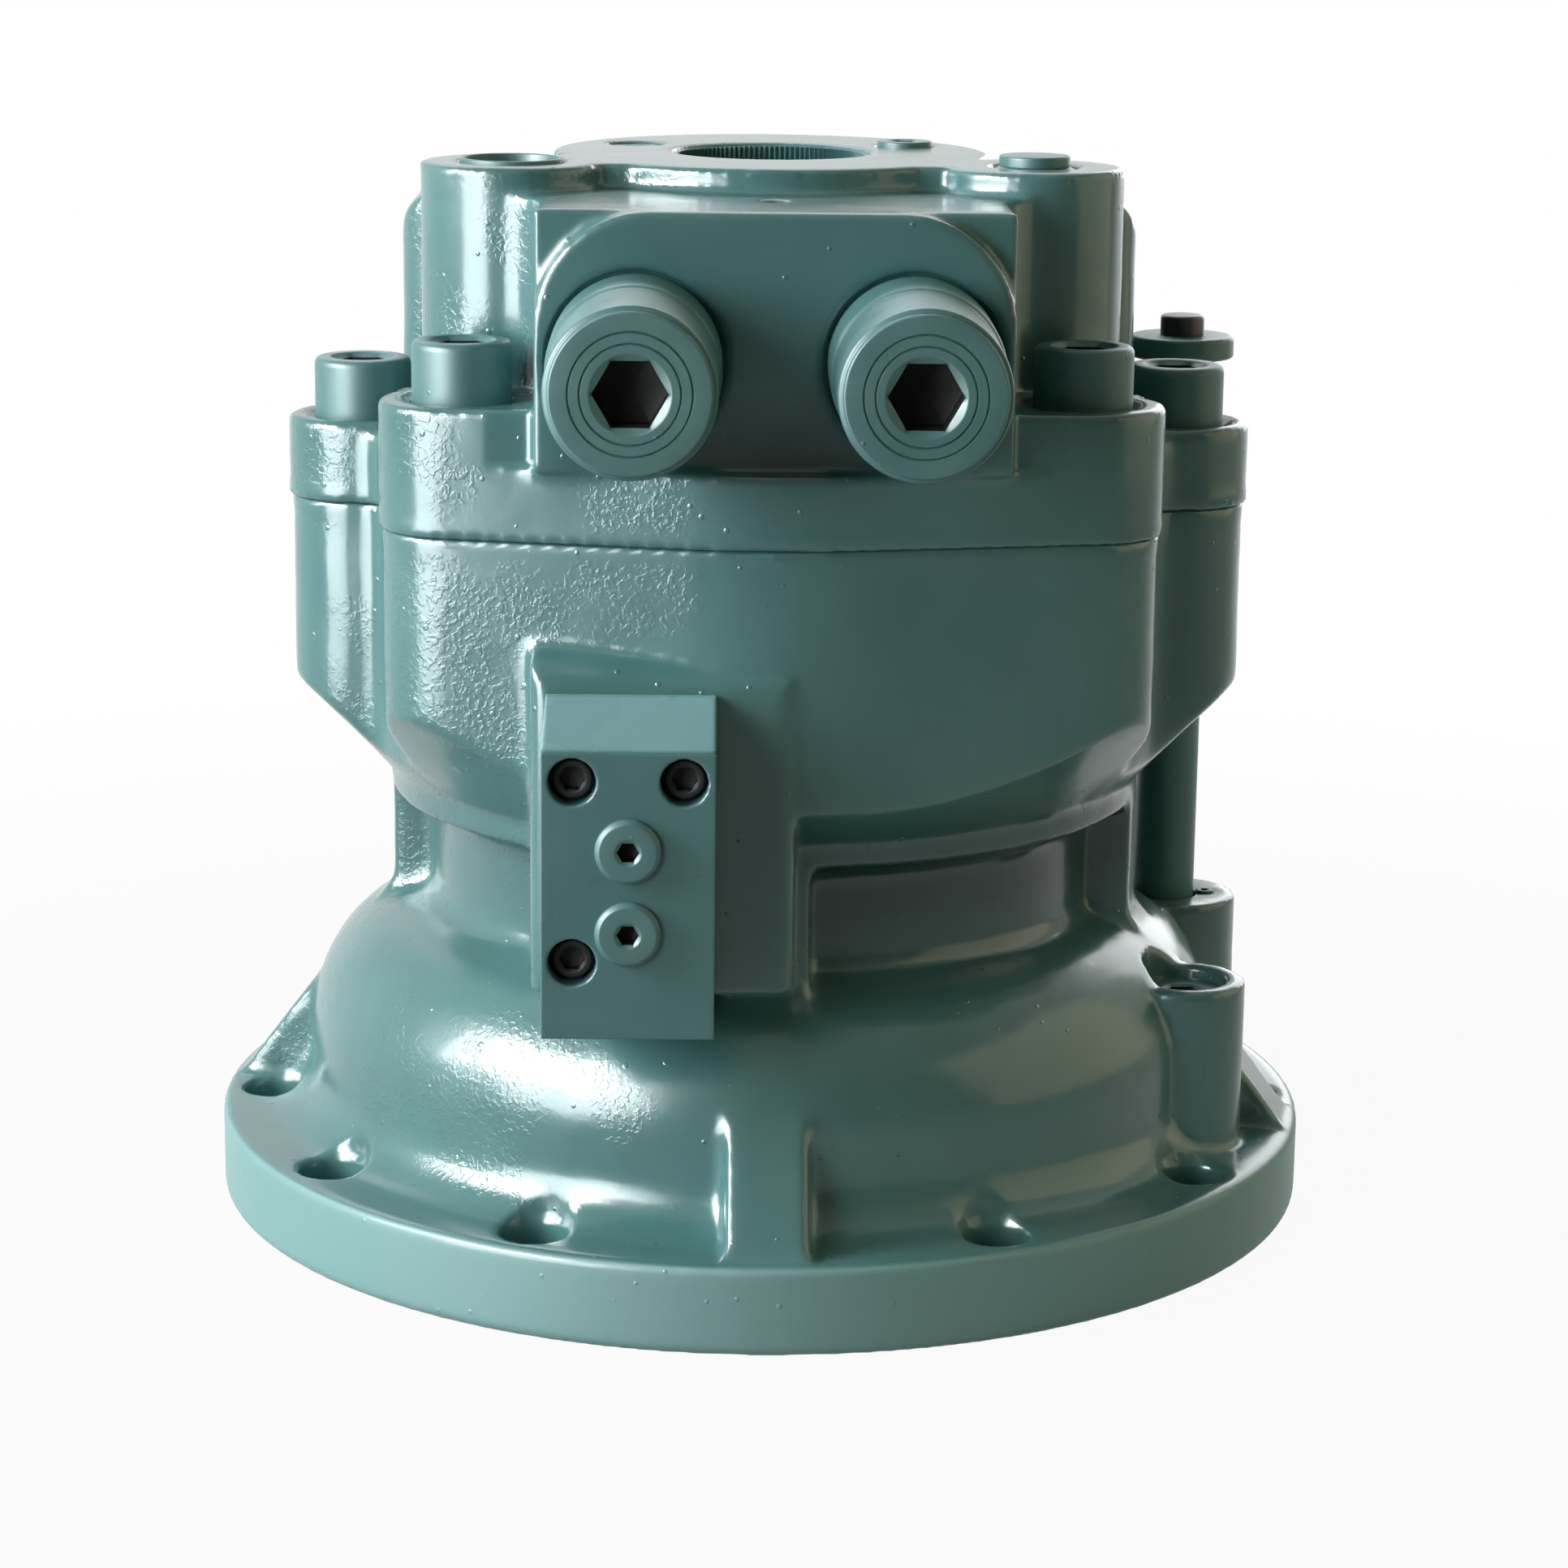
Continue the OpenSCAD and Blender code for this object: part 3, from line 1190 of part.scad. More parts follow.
// Sizes of the lower bearing
lower_mid_r = (shaft_r + lower_bearing_r) / 2;
lower_roller_r = (lower_bearing_r - shaft_r) / 5.2;
lower_h = swash_floor_z - bearing_ledge_z;
lower_lean = 10;
lower_roller_l = lower_h * 0.62;

// Places one child at each lower roller, lying along its leaning axis
module at_lower_rollers() {
    for (k = [0:lower_rollers - 1]) rotate([0, 0, 360 * k / lower_rollers])
        translate([lower_mid_r, 0, bearing_ledge_z + lower_h / 2]) rotate([0, lower_lean, 0]) children();
}

// Half section of the ring space that the lower rollers sweep, grown by the length grow
module lower_roller_track(grow) {
    translate([lower_mid_r, lower_h / 2]) rotate(-lower_lean)
        translate([-lower_roller_r - grow, -lower_h])
            square([2 * (lower_roller_r + grow), 2 * lower_h]);
}

module lower_bearing_cup() {
    color(steel) translate([0, 0, bearing_ledge_z]) rotate_extrude() difference() {
        translate([lower_mid_r, 0]) square([lower_bearing_r - fit_gap - lower_mid_r, lower_h]);
        lower_roller_track(gap);
        translate([0, -over]) square([lower_mid_r + lower_roller_r / 2, lower_h + 2 * over]);
    }
}

module lower_bearing_cone() {
    color(steel) translate([0, 0, bearing_ledge_z]) rotate_extrude() difference() {
        translate([shaft_r + fit_gap, gap]) square([lower_mid_r - shaft_r - fit_gap, lower_h - 2 * gap]);
        lower_roller_track(gap);
        translate([lower_mid_r - lower_roller_r / 2, -over]) square([lower_mid_r, lower_h + 2 * over]);
    }
}

module lower_bearing_rollers() {
    color(steel) at_lower_rollers()
        cylinder(r = lower_roller_r, h = lower_roller_l, center = true, $fn = 32);
}

// Thin ring between the races, with a window for each roller
module lower_bearing_cage() {
    t = lower_roller_r / 3;
    color(bronze) difference() {
        translate([0, 0, bearing_ledge_z]) rotate_extrude() intersection() {
            translate([lower_mid_r, lower_h / 2]) rotate(-lower_lean)
                translate([-t / 2, -lower_h]) square([t, 2 * lower_h]);
            translate([0, lower_h * 0.08]) square([lower_bearing_r, lower_h * 0.84]);
        }
        at_lower_rollers() cylinder(r = lower_roller_r + gap, h = lower_roller_l + 2 * gap, center = true, $fn = 32);
    }
}

// Sizes of the upper bearing
upper_mid_r = (tail_r + upper_bearing_r) / 2;
upper_roller_r = (upper_bearing_r - tail_r) / 4.2;
upper_roller_l = upper_bearing_w * 0.66;

module upper_bearing_outer() {
    color(steel) translate([0, 0, upper_bearing_z])
        ring(upper_bearing_r, upper_mid_r + upper_roller_r + gap, upper_bearing_w);
}

module upper_bearing_inner() {
    color(steel) translate([0, 0, upper_bearing_z])
        ring(upper_mid_r - upper_roller_r - gap, tail_r + fit_gap, upper_bearing_w);
}

module at_upper_rollers() {
    for (k = [0:upper_rollers - 1]) rotate([0, 0, 360 * k / upper_rollers])
        translate([upper_mid_r, 0, upper_bearing_z + upper_bearing_w / 2]) children();
}

module upper_bearing_rollers() {
    color(steel) at_upper_rollers() cylinder(r = upper_roller_r, h = upper_roller_l, center = true, $fn = 32);
}

module upper_bearing_cage() {
    t = upper_roller_r / 3;
    color(bronze) difference() {
        translate([0, 0, upper_bearing_z + upper_bearing_w * 0.08])
            ring(upper_mid_r + t / 2, upper_mid_r - t / 2, upper_bearing_w * 0.84);
        at_upper_rollers() cylinder(r = upper_roller_r + gap, h = upper_roller_l + 2 * gap, center = true, $fn = 32);
    }
}

// Rotating group

// Puts its children in the frame of the swash plate's running face
module on_swash() {
    translate([0, 0, ball_z]) rotate([swash_tilt, 0, 0]) translate([0, 0, -ball_offset]) children();
}

module swash_plate() {
    color(steel) difference() {
        translate([0, 0, swash_floor_z]) cylinder(r = swash_r, h = 2 * (swash_z - swash_floor_z));
        on_swash() cylinder(r = 2 * swash_r, h = swash_r);
        translate([0, 0, swash_floor_z - over]) cylinder(r = swash_hole_r, h = swash_r);
    }
}

// Places one child at each shoe, on a circle in the running face
module at_shoes() {
    on_swash() for (k = [0:piston_count - 1]) rotate([0, 0, 90 + 360 * k / piston_count])
        translate([shoe_circle_r(90 + 360 * k / piston_count), 0, 0]) children();
}

// Distance of the shoe at angle a from the swash plate's centre
function shoe_circle_r(a) =
    let (x = piston_circle_r * cos(piston_angle(a)), y = piston_circle_r * sin(piston_angle(a)) / cos(swash_tilt))
    sqrt(x * x + y * y);
function piston_angle(a) = atan2(sin(a) * cos(swash_tilt), cos(a));

module piston_shoes() {
    color(bronze) at_shoes() difference() {
        union() {
            translate([0, 0, gap]) cylinder(r = shoe_foot_r, h = shoe_foot_t - gap);
            translate([0, 0, gap]) cylinder(r = shoe_neck_r, h = shoe_h - gap);
        }
        translate([0, 0, ball_offset]) sphere(r = ball_r + gap);
        translate([0, 0, ball_offset]) cylinder(r1 = ball_r * 0.9, r2 = ball_r * 1.15, h = shoe_h);
        translate([0, 0, -over]) cylinder(r = ball_r / 5, h = ball_offset);
    }
}

module retainer_plate() {
    color(steel) difference() {
        on_swash() translate([0, 0, shoe_foot_t + gap]) ring(retainer_r, guide_ball_r + gap, retainer_t);
        at_shoes() cylinder(r = shoe_neck_r + 2 * gap, h = ball_offset + retainer_t);
    }
}

// Ball on the shaft that centres the retainer plate
module retainer_ball() {
    color(steel) translate([0, 0, ball_z]) intersection() {
        difference() {
            sphere(r = guide_ball_r);
            translate([0, 0, -guide_ball_r]) cylinder(r = drive_r + fit_gap, h = 2 * guide_ball_r);
        }
        translate([0, 0, -guide_ball_half_h]) cylinder(r = 2 * guide_ball_r, h = 2 * guide_ball_half_h);
    }
}

// Places one child at the ball of each piston
module at_pistons() {
    for (k = [0:piston_count - 1]) let (a = piston_angle(90 + 360 * k / piston_count))
        translate([piston_circle_r * cos(a), piston_circle_r * sin(a),
            ball_z + piston_circle_r * sin(a) * tan(swash_tilt)]) children();
}

module pistons() {
    color(steel) at_pistons() {
        sphere(r = ball_r, $fn = 48);
        cylinder(r = waist_r, h = shoe_h);
        translate([0, 0, shoe_h - ball_r / 2]) cylinder(r1 = waist_r, r2 = piston_r, h = ball_r);
        translate([0, 0, shoe_h + ball_r / 2]) cylinder(r = piston_r, h = piston_l - shoe_h - ball_r / 2);
    }
}

module cylinder_block() {
    color(steel) difference() {
        translate([0, 0, barrel_low_z]) cylinder(r = block_r, h = barrel_top_z - barrel_low_z);
        translate([0, 0, barrel_low_z - over]) cylinder(r = drive_r + fit_gap, h = barrel_top_z - barrel_low_z + 2 * over);
        translate([0, 0, barrel_low_z - over]) cylinder(r = spring_chamber_r, h = spring_chamber_depth + over);
        for (k = [0:piston_count - 1]) let (a = piston_angle(90 + 360 * k / piston_count))
            translate([piston_circle_r * cos(a), piston_circle_r * sin(a), 0]) {
                translate([0, 0, barrel_low_z - over]) cylinder(r = cylinder_r, h = cylinder_depth + over);
                translate([0, 0, barrel_low_z]) cylinder(r = cylinder_port_r, h = barrel_top_z);
            }
        for (k = [0:lug_count - 1]) at(360 * k / lug_count) translate([block_r, 0, brake_ledge_z])
            cylinder(r = lug_r + gap, h = barrel_top_z);
    }
}

module block_spring() {
    z0 = ball_z + guide_ball_half_h + gap;
    color(steel) translate([0, 0, z0])
        coil((drive_r + spring_chamber_r) / 2, (spring_chamber_r - drive_r) / 5,
            barrel_low_z + spring_chamber_depth - z0 - gap, 4, 6, 14);
}

module valve_plate() {
    color(steel) translate([0, 0, joint_z - valve_plate_t]) difference() {
        ring(valve_plate_r, drive_r + 2 * over, valve_plate_t);
        for (a = [0, 180]) translate([0, 0, -over]) kidney(a, valve_plate_t + 2 * over);
    }
}

// Parking brake

module friction_plates() {
    color(bronze) for (k = [0, 1]) translate([0, 0, brake_ledge_z + (2 * k + 1) * plate_pitch]) {
        ring(friction_outer_r, friction_inner_r, plate_t);
        for (j = [0:lug_count - 1]) at(360 * j / lug_count) translate([friction_inner_r, 0, 0])
            cylinder(r = lug_r, h = plate_t, $fn = 24);
    }
}

module separator_plates() {
    color(steel) for (k = [0:2]) translate([0, 0, brake_ledge_z + 2 * k * plate_pitch]) {
        ring(separator_outer_r, separator_inner_r, plate_t);
        for (j = [0:lug_count - 1]) at(360 * j / lug_count) translate([separator_outer_r, 0, 0])
            cylinder(r = lug_r, h = plate_t, $fn = 24);
    }
}

// Half section of a groove for a piston ring seal of outer radius r at height z
seal_w = lug_r;

module brake_piston() {
    color(steel) difference() {
        union() {
            translate([0, 0, brake_piston_low_z]) cylinder(r = brake_piston_low_r, h = brake_step_z - brake_piston_low_z + over);
            translate([0, 0, brake_step_z]) cylinder(r = brake_piston_high_r, h = brake_piston_top_z - brake_step_z);
        }
        translate([0, 0, brake_ledge_z]) cylinder(r = brake_piston_inner_r, h = joint_z);
        for (k = [0:brake_spring_count - 1]) at(360 * (k + 0.5) / brake_spring_count)
            translate([brake_spring_circle_r, 0, brake_piston_top_z - brake_pocket_depth])
                cylinder(r = brake_pocket_r, h = brake_pocket_depth + over);
        translate([0, 0, seal_low_z]) ring(brake_piston_low_r + over, brake_piston_low_r - seal_w / 2, seal_w);
        translate([0, 0, seal_high_z]) ring(brake_piston_high_r + over, brake_piston_high_r - seal_w / 2, seal_w);
    }
}

// Heights of the two seals of the brake piston
seal_low_z = brake_piston_low_z + seal_w;
seal_high_z = brake_piston_top_z - 2 * seal_w;

module brake_piston_seals() {
    color(rubber) {
        translate([0, 0, seal_low_z + fit_gap])
            ring(brake_piston_low_r + fit_gap, brake_piston_low_r - seal_w / 2 + fit_gap, seal_w - 2 * fit_gap);
        translate([0, 0, seal_high_z + fit_gap])
            ring(brake_piston_high_r + fit_gap, brake_piston_high_r - seal_w / 2 + fit_gap, seal_w - 2 * fit_gap);
    }
}

module brake_springs() {
    z0 = brake_piston_top_z - brake_pocket_depth + gap;
    color(steel) for (k = [0:brake_spring_count - 1]) at(360 * (k + 0.5) / brake_spring_count)
        translate([brake_spring_circle_r, 0, z0])
            coil(brake_pocket_r * 0.68, brake_pocket_r / 6, joint_z - gap - z0, 4, 4, 8);
}

motor_casing();
valve_casing();
casing_seal();
casing_screws();
relief_valve_left();
relief_valve_right();
relief_seats();
relief_poppet_left();
relief_poppet_right();
relief_spring_left();
relief_spring_right();
brake_valve_block();
brake_valve_screws();
brake_valve_plugs();
brake_valve_spool();
brake_valve_spring();
deck_plug_front_left();
deck_plug_front_right();
deck_plug_rear_left();
deck_plug_rear_right();
port_liner();
make_up_poppet_left();
make_up_poppet_right();
make_up_spring_left();
make_up_spring_right();
base_plug();
gauge_pipe();
gauge_boss_screw();
level_gauge();
drive_shaft();
shaft_seal();
snap_ring();
lower_bearing_cup();
lower_bearing_cone();
lower_bearing_rollers();
lower_bearing_cage();
upper_bearing_outer();
upper_bearing_inner();
upper_bearing_rollers();
upper_bearing_cage();
swash_plate();
piston_shoes();
retainer_plate();
retainer_ball();
pistons();
cylinder_block();
block_spring();
valve_plate();
friction_plates();
separator_plates();
brake_piston();
brake_piston_seals();
brake_springs();
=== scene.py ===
import math

import bmesh
import bpy
import numpy as np
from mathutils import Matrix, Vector, noise


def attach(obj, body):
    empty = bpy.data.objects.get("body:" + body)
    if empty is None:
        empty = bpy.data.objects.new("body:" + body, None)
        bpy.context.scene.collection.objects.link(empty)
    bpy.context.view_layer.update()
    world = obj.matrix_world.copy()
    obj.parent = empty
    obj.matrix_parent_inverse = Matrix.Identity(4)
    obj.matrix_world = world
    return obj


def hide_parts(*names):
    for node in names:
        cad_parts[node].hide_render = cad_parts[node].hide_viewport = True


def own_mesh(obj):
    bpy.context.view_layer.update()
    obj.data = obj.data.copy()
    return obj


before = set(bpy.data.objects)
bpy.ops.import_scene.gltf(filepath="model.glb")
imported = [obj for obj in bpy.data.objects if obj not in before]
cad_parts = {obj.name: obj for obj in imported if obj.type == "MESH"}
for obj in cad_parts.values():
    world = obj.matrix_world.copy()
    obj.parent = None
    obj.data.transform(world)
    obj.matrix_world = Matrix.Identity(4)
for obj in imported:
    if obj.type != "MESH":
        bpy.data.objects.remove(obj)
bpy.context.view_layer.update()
MM = 0.001

# Camera
# The motor is seen from a little above its flange, 13.4 degrees down and almost square to the relief valves.
# The camera's axes and place are given as if the motor stood square to it, then turned about the shaft.
turn = math.radians(-0.8)


def turned_about_shaft(x, y, z):
    """A point or a direction turned by the small angle by which the motor stands off square."""
    return Vector((x * math.cos(turn) - y * math.sin(turn), x * math.sin(turn) + y * math.cos(turn), z))


camera = bpy.data.objects.new("camera", bpy.data.cameras.new("camera"))
focal_px, frame_px, sensor_mm = 5075, 1932, 36
camera.data.lens = focal_px * sensor_mm / frame_px
camera.data.sensor_width = sensor_mm
camera.data.clip_end = 50
right = turned_about_shaft(0.9999, -0.0021, 0.0121)
up = turned_about_shaft(-0.0113, 0.2320, 0.9726)
back = turned_about_shaft(-0.0048, -0.9727, 0.2320)
place = turned_about_shaft(0, -1184 * MM, 400.3 * MM)
for row in range(3):
    for column, axis in enumerate((right, up, back, place)):
        camera.matrix_world[row][column] = axis[row]
bpy.context.scene.collection.objects.link(camera)
bpy.context.scene.camera = camera

# Motor casing
# One grey iron casting: flange, bell, gussets, neck and the lobed housing of the rotating group. Its skin is
# as cast, rounded at every edge and corner; flange, joint face, bores and boss faces are machined.


def smoothed(points, edges, amount, rounds):
    """Points moved towards the mean of their neighbours, each by its own amount."""
    a, b = edges[:, 0], edges[:, 1]
    count = np.bincount(a, minlength=len(points)) + np.bincount(b, minlength=len(points))
    for _ in range(rounds):
        total = np.stack(
            [
                np.bincount(a, points[b, k], len(points)) + np.bincount(b, points[a, k], len(points))
                for k in range(3)
            ],
            axis=1,
        )
        points = points + (total / count[:, None] - points) * amount[:, None]
    return points


def skin_over(node, name, voxel_mm, rounds, cast_share, wave_mm, faces_kept):
    """A close-meshed skin over a CAD piece.

    cast_share says how rough and how rounded each point is, wave_mm how deep a rough skin is uneven.
    """
    skin = bpy.data.objects.new(name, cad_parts[node].data.copy())
    bpy.context.scene.collection.objects.link(skin)
    remesh = skin.modifiers.new("skin", "REMESH")
    remesh.mode = "VOXEL"
    remesh.voxel_size = voxel_mm * MM
    mesh = bpy.data.meshes.new_from_object(skin.evaluated_get(bpy.context.evaluated_depsgraph_get()))
    skin.modifiers.clear()
    points = np.empty(len(mesh.vertices) * 3)
    mesh.vertices.foreach_get("co", points)
    points = points.reshape(-1, 3)
    edges = np.empty(len(mesh.edges) * 2, dtype=np.int64)
    mesh.edges.foreach_get("vertices", edges)
    edges = edges.reshape(-1, 2)
    rough, soft = cast_share(points * 1000)
    # Each round moves a machined point by a twentieth of its way and a cast one by about half.
    crisp, full_round, last_pass = 0.05, 0.48, 0.3
    points = smoothed(points, edges, crisp + full_round * soft, rounds)
    points = smoothed(points, edges, np.full(len(points), last_pass), 2)
    mesh.vertices.foreach_set("co", points.ravel())
    mesh.update()
    normals = np.empty(len(points) * 3)
    mesh.vertex_normals.foreach_get("vector", normals)
    # A rammed sand mould is uneven in waves some 26 mm long, with lower ones of 9 mm over them.
    swell, ripple = 1000 / 26, 1000 / 9
    wave = np.array([noise.noise(Vector(p) * swell) + 0.5 * noise.noise(Vector(p) * ripple) for p in points])
    points -= normals.reshape(-1, 3) * (rough * (0.6 + wave) * wave_mm * MM)[:, None]
    mesh.vertices.foreach_set("co", points.ravel())
    mesh.attributes.new("as_cast", "FLOAT", "POINT").data.foreach_set("value", rough)
    mesh.update()
    old = skin.data
    skin.data = mesh
    bpy.data.meshes.remove(old)
    # A face of the close mesh is a square, so it counts as two.
    thin = skin.modifiers.new("thin", "DECIMATE")
    thin.ratio = min(1, faces_kept / (2 * len(mesh.polygons)))
    mesh = bpy.data.meshes.new_from_object(skin.evaluated_get(bpy.context.evaluated_depsgraph_get()))
    skin.modifiers.clear()
    skin.data = mesh
    mesh.materials.clear()
    mesh.shade_smooth()
    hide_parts(node)
    return skin


def ramp(value, low, high):
    """0 below low, 1 above high, and even in between."""
    return np.clip((value - low) / (high - low), 0, 1)


def motor_casing_cast(p):
    """Shares for points in mm: as cast outside and inside the bell, crisper where a cutter has been."""
    x, y, z = p.T
    radius = np.hypot(x, y)
    outside = np.maximum(ramp(radius, 101, 104), ramp(radius, 92, 95) * (1 - ramp(z, 150, 153)))
    outside = outside * ramp(z, 26, 29) * (1 - ramp(z, 203, 206))
    in_bell = ramp(radius, 74, 78) * (1 - ramp(z, 74, 76)) * ramp(z, 9, 11) * (radius < 122)
    rough = np.maximum(outside, in_bell)
    valve_boss = (1 - ramp(y, -114, -111)) * (1 - ramp(np.abs(z - 134), 50, 54))
    valve_boss = valve_boss * (1 - ramp(np.abs(x + 28), 40, 44))
    base_boss_tops = ramp(x, 98, 102) * (1 - ramp(np.abs(y), 62, 66))
    base_boss_tops = base_boss_tops * ramp(z, 62, 67) * (1 - ramp(z, 80, 84))
    facet_edges = (1 - ramp(np.abs(z - 158), 8, 12)) * ramp(radius, 112, 116) * 0.55
    soft = rough * (1 - np.maximum(np.maximum(0.8 * valve_boss, base_boss_tops), facet_edges))
    return rough * (1 - 0.85 * valve_boss), soft


motor_casing = skin_over("motor_casing", "motor_casing_skin", 1.2, 10, motor_casing_cast, 0.25, 180000)
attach(motor_casing, "housing")


def hex_colour(code):
    """A colour as written on a paint card, turned to linear light."""
    red_green_blue = [int(code[k : k + 2], 16) / 255 for k in (1, 3, 5)]
    return [c / 12.92 if c <= 0.04045 else ((c + 0.055) / 1.055) ** 2.4 for c in red_green_blue] + [1]


def put(material, kind, sockets, **settings):
    """Adds a node: settings are its own, sockets hold values or links."""
    made = material.node_tree.nodes.new(kind)
    for key, value in settings.items():
        setattr(made, key, value)
    for key, value in sockets.items():
        if isinstance(value, bpy.types.NodeSocket):
            material.node_tree.links.new(value, made.inputs[key])
        else:
            made.inputs[key].default_value = value
    return made.outputs


def bare(name):
    """A new material without any node."""
    material = bpy.data.materials.new(name)
    material.use_nodes = True
    material.node_tree.nodes.clear()
    return material


# Alkyd enamel, sprayed in one wet coat over everything once the motor was together. Over as-cast iron it
# follows the sand's grain and wrinkles into small worms 1.7 mm apart, most on the left; over machined iron it
# lies smooth with a few drops. On the turned rim of the flange it dried as a paler, duller mist coat.
enamel_on_casting = bare("alkyd_enamel_on_sand_cast_iron")
m = enamel_on_casting
where = put(m, "ShaderNodeTexCoord", {})["Object"]
as_cast = put(m, "ShaderNodeAttribute", {}, attribute_name="as_cast")["Fac"]
patch = put(
    m, "ShaderNodeTexNoise", {"Vector": where, "Scale": 1000 / 55, "Detail": 3, "Roughness": 0.6}
)["Fac"]
place = put(m, "ShaderNodeSeparateXYZ", {0: where})
tint = put(
    m, "ShaderNodeMix", {0: patch, 6: hex_colour("#3f6c6b"), 7: hex_colour("#557f7d")}, data_type="RGBA"
)[2]
flat = put(m, "ShaderNodeCombineXYZ", {0: place["X"], 1: place["Y"], 2: 0.0})["Vector"]
radius = put(m, "ShaderNodeVectorMath", {0: flat}, operation="LENGTH")["Value"]
out_there = put(m, "ShaderNodeMapRange", {0: radius, 1: 157.8 * MM, 2: 159.2 * MM})["Result"]
down_there = put(
    m, "ShaderNodeMapRange", {0: place["Z"], 1: 24.0 * MM, 2: 25.2 * MM, 3: 1.0, 4: 0.0}
)["Result"]
rim = put(m, "ShaderNodeMath", {0: out_there, 1: down_there}, operation="MULTIPLY")["Value"]
painted = put(m, "ShaderNodeMix", {0: rim, 6: tint, 7: hex_colour("#6a9593")}, data_type="RGBA")[2]

# Painted shade: the paint is darkened to a near-black green where shadow falls: round the neck under the
# lobes, most on the right, and at the foot of the front pad between the relief valves.
inward = put(m, "ShaderNodeMapRange", {0: radius, 1: 122 * MM, 2: 104 * MM, 3: 0.0, 4: 1.0})["Result"]
above_bell = put(m, "ShaderNodeMapRange", {0: place["Z"], 1: 70 * MM, 2: 104 * MM})["Result"]
below_lobes = put(m, "ShaderNodeMapRange", {0: place["Z"], 1: 152 * MM, 2: 140 * MM})["Result"]
shadier_right = put(
    m, "ShaderNodeMapRange", {0: place["X"], 1: -40 * MM, 2: 15 * MM, 3: 0.25, 4: 0.75}
)["Result"]
neck_shade = above_bell
for limit in (below_lobes, inward, shadier_right):
    neck_shade = put(m, "ShaderNodeMath", {0: neck_shade, 1: limit}, operation="MULTIPLY")["Value"]
pad_foot = put(m, "ShaderNodeMapRange", {0: place["Z"], 1: 252 * MM, 2: 234 * MM, 3: 0.0, 4: 0.8})["Result"]
on_pad = put(m, "ShaderNodeMapRange", {0: place["Y"], 1: -104 * MM, 2: -106 * MM})["Result"]
above_ledge = put(m, "ShaderNodeMapRange", {0: place["Z"], 1: 226 * MM, 2: 230 * MM})["Result"]
aside = put(m, "ShaderNodeMath", {0: place["X"]}, operation="ABSOLUTE")["Value"]
between_valves = put(m, "ShaderNodeMapRange", {0: aside, 1: 60 * MM, 2: 40 * MM})["Result"]
pad_foot_shade = pad_foot
for limit in (on_pad, above_ledge, between_valves):
    pad_foot_shade = put(m, "ShaderNodeMath", {0: pad_foot_shade, 1: limit}, operation="MULTIPLY")["Value"]
# Painted shade: the neck and pad-foot masks darken the paint towards #0c211a.
painted_shade = put(m, "ShaderNodeMath", {0: neck_shade, 1: pad_foot_shade}, operation="MAXIMUM")["Value"]
colour = put(m, "ShaderNodeMix", {0: painted_shade, 6: painted, 7: hex_colour("#0c211a")}, data_type="RGBA")[2]

worms = put(
    m,
    "ShaderNodeTexNoise",
    {"Vector": where, "Scale": 1000 / 1.7, "Detail": 2, "Roughness": 0.5, "Distortion": 0.5},
)["Fac"]
worm_height = put(
    m, "ShaderNodeMapRange", {0: worms, 1: 0.44, 2: 0.66}, interpolation_type="SMOOTHSTEP"
)["Result"]
worm_place = put(m, "ShaderNodeTexNoise", {"Vector": where, "Scale": 1000 / 34, "Detail": 2})["Fac"]
sprayed_side = put(
    m, "ShaderNodeMapRange", {0: place["X"], 1: -40 * MM, 2: 40 * MM, 3: 0.12, 4: -0.34}
)["Result"]
worm_share = put(m, "ShaderNodeMath", {0: worm_place, 1: sprayed_side}, operation="ADD")["Value"]
worm_mask = put(
    m, "ShaderNodeMapRange", {0: worm_share, 1: 0.53, 2: 0.7}, interpolation_type="SMOOTHSTEP"
)["Result"]
worming = put(m, "ShaderNodeMath", {0: worm_height, 1: worm_mask}, operation="MULTIPLY")["Value"]
sand = put(
    m, "ShaderNodeTexNoise", {"Vector": where, "Scale": 1000 / 1.6, "Detail": 3, "Roughness": 0.6}
)["Fac"]
sand_low = put(m, "ShaderNodeMath", {0: sand, 1: 0.06}, operation="MULTIPLY")["Value"]
cast_relief = put(m, "ShaderNodeMath", {0: worming, 1: 0.2, 2: sand_low}, operation="MULTIPLY_ADD")["Value"]
cast_height = put(m, "ShaderNodeMath", {0: cast_relief, 1: as_cast}, operation="MULTIPLY")["Value"]
cells = put(m, "ShaderNodeTexVoronoi", {"Vector": where, "Scale": 1000 / 8.5, "Randomness": 1})
drop_size = put(
    m,
    "ShaderNodeMapRange",
    {0: cells["Distance"], 1: 0.05, 2: 0.1, 3: 1.0, 4: 0.0},
    interpolation_type="SMOOTHSTEP",
)["Result"]
drops = put(m, "ShaderNodeMath", {0: drop_size, 1: 0.5, 2: cast_height}, operation="MULTIPLY_ADD")["Value"]
peel = put(
    m, "ShaderNodeTexNoise", {"Vector": where, "Scale": 1000 / 2.6, "Detail": 2, "Roughness": 0.5}
)["Fac"]
height = put(m, "ShaderNodeMath", {0: peel, 1: 0.03, 2: drops}, operation="MULTIPLY_ADD")["Value"]
normal = put(m, "ShaderNodeBump", {"Height": height, "Strength": 0.5, "Distance": 0.6 * MM})["Normal"]
gloss = put(m, "ShaderNodeMapRange", {0: patch, 1: 0.3, 2: 0.7, 3: 0.2, 4: 0.28})["Result"]
gloss_or_mist = put(m, "ShaderNodeMix", {0: rim, 2: gloss, 3: 0.6})[0]
surface = put(
    m,
    "ShaderNodeBsdfPrincipled",
    {
        "Base Color": colour,
        "Roughness": gloss_or_mist,
        "Normal": normal,
        "IOR": 1.45,
        "Coat Weight": 0.25,
        "Coat Roughness": 0.12,
        "Coat Normal": normal,
    },
)["BSDF"]
put(m, "ShaderNodeOutputMaterial", {"Surface": surface})
motor_casing.data.materials.append(enamel_on_casting)

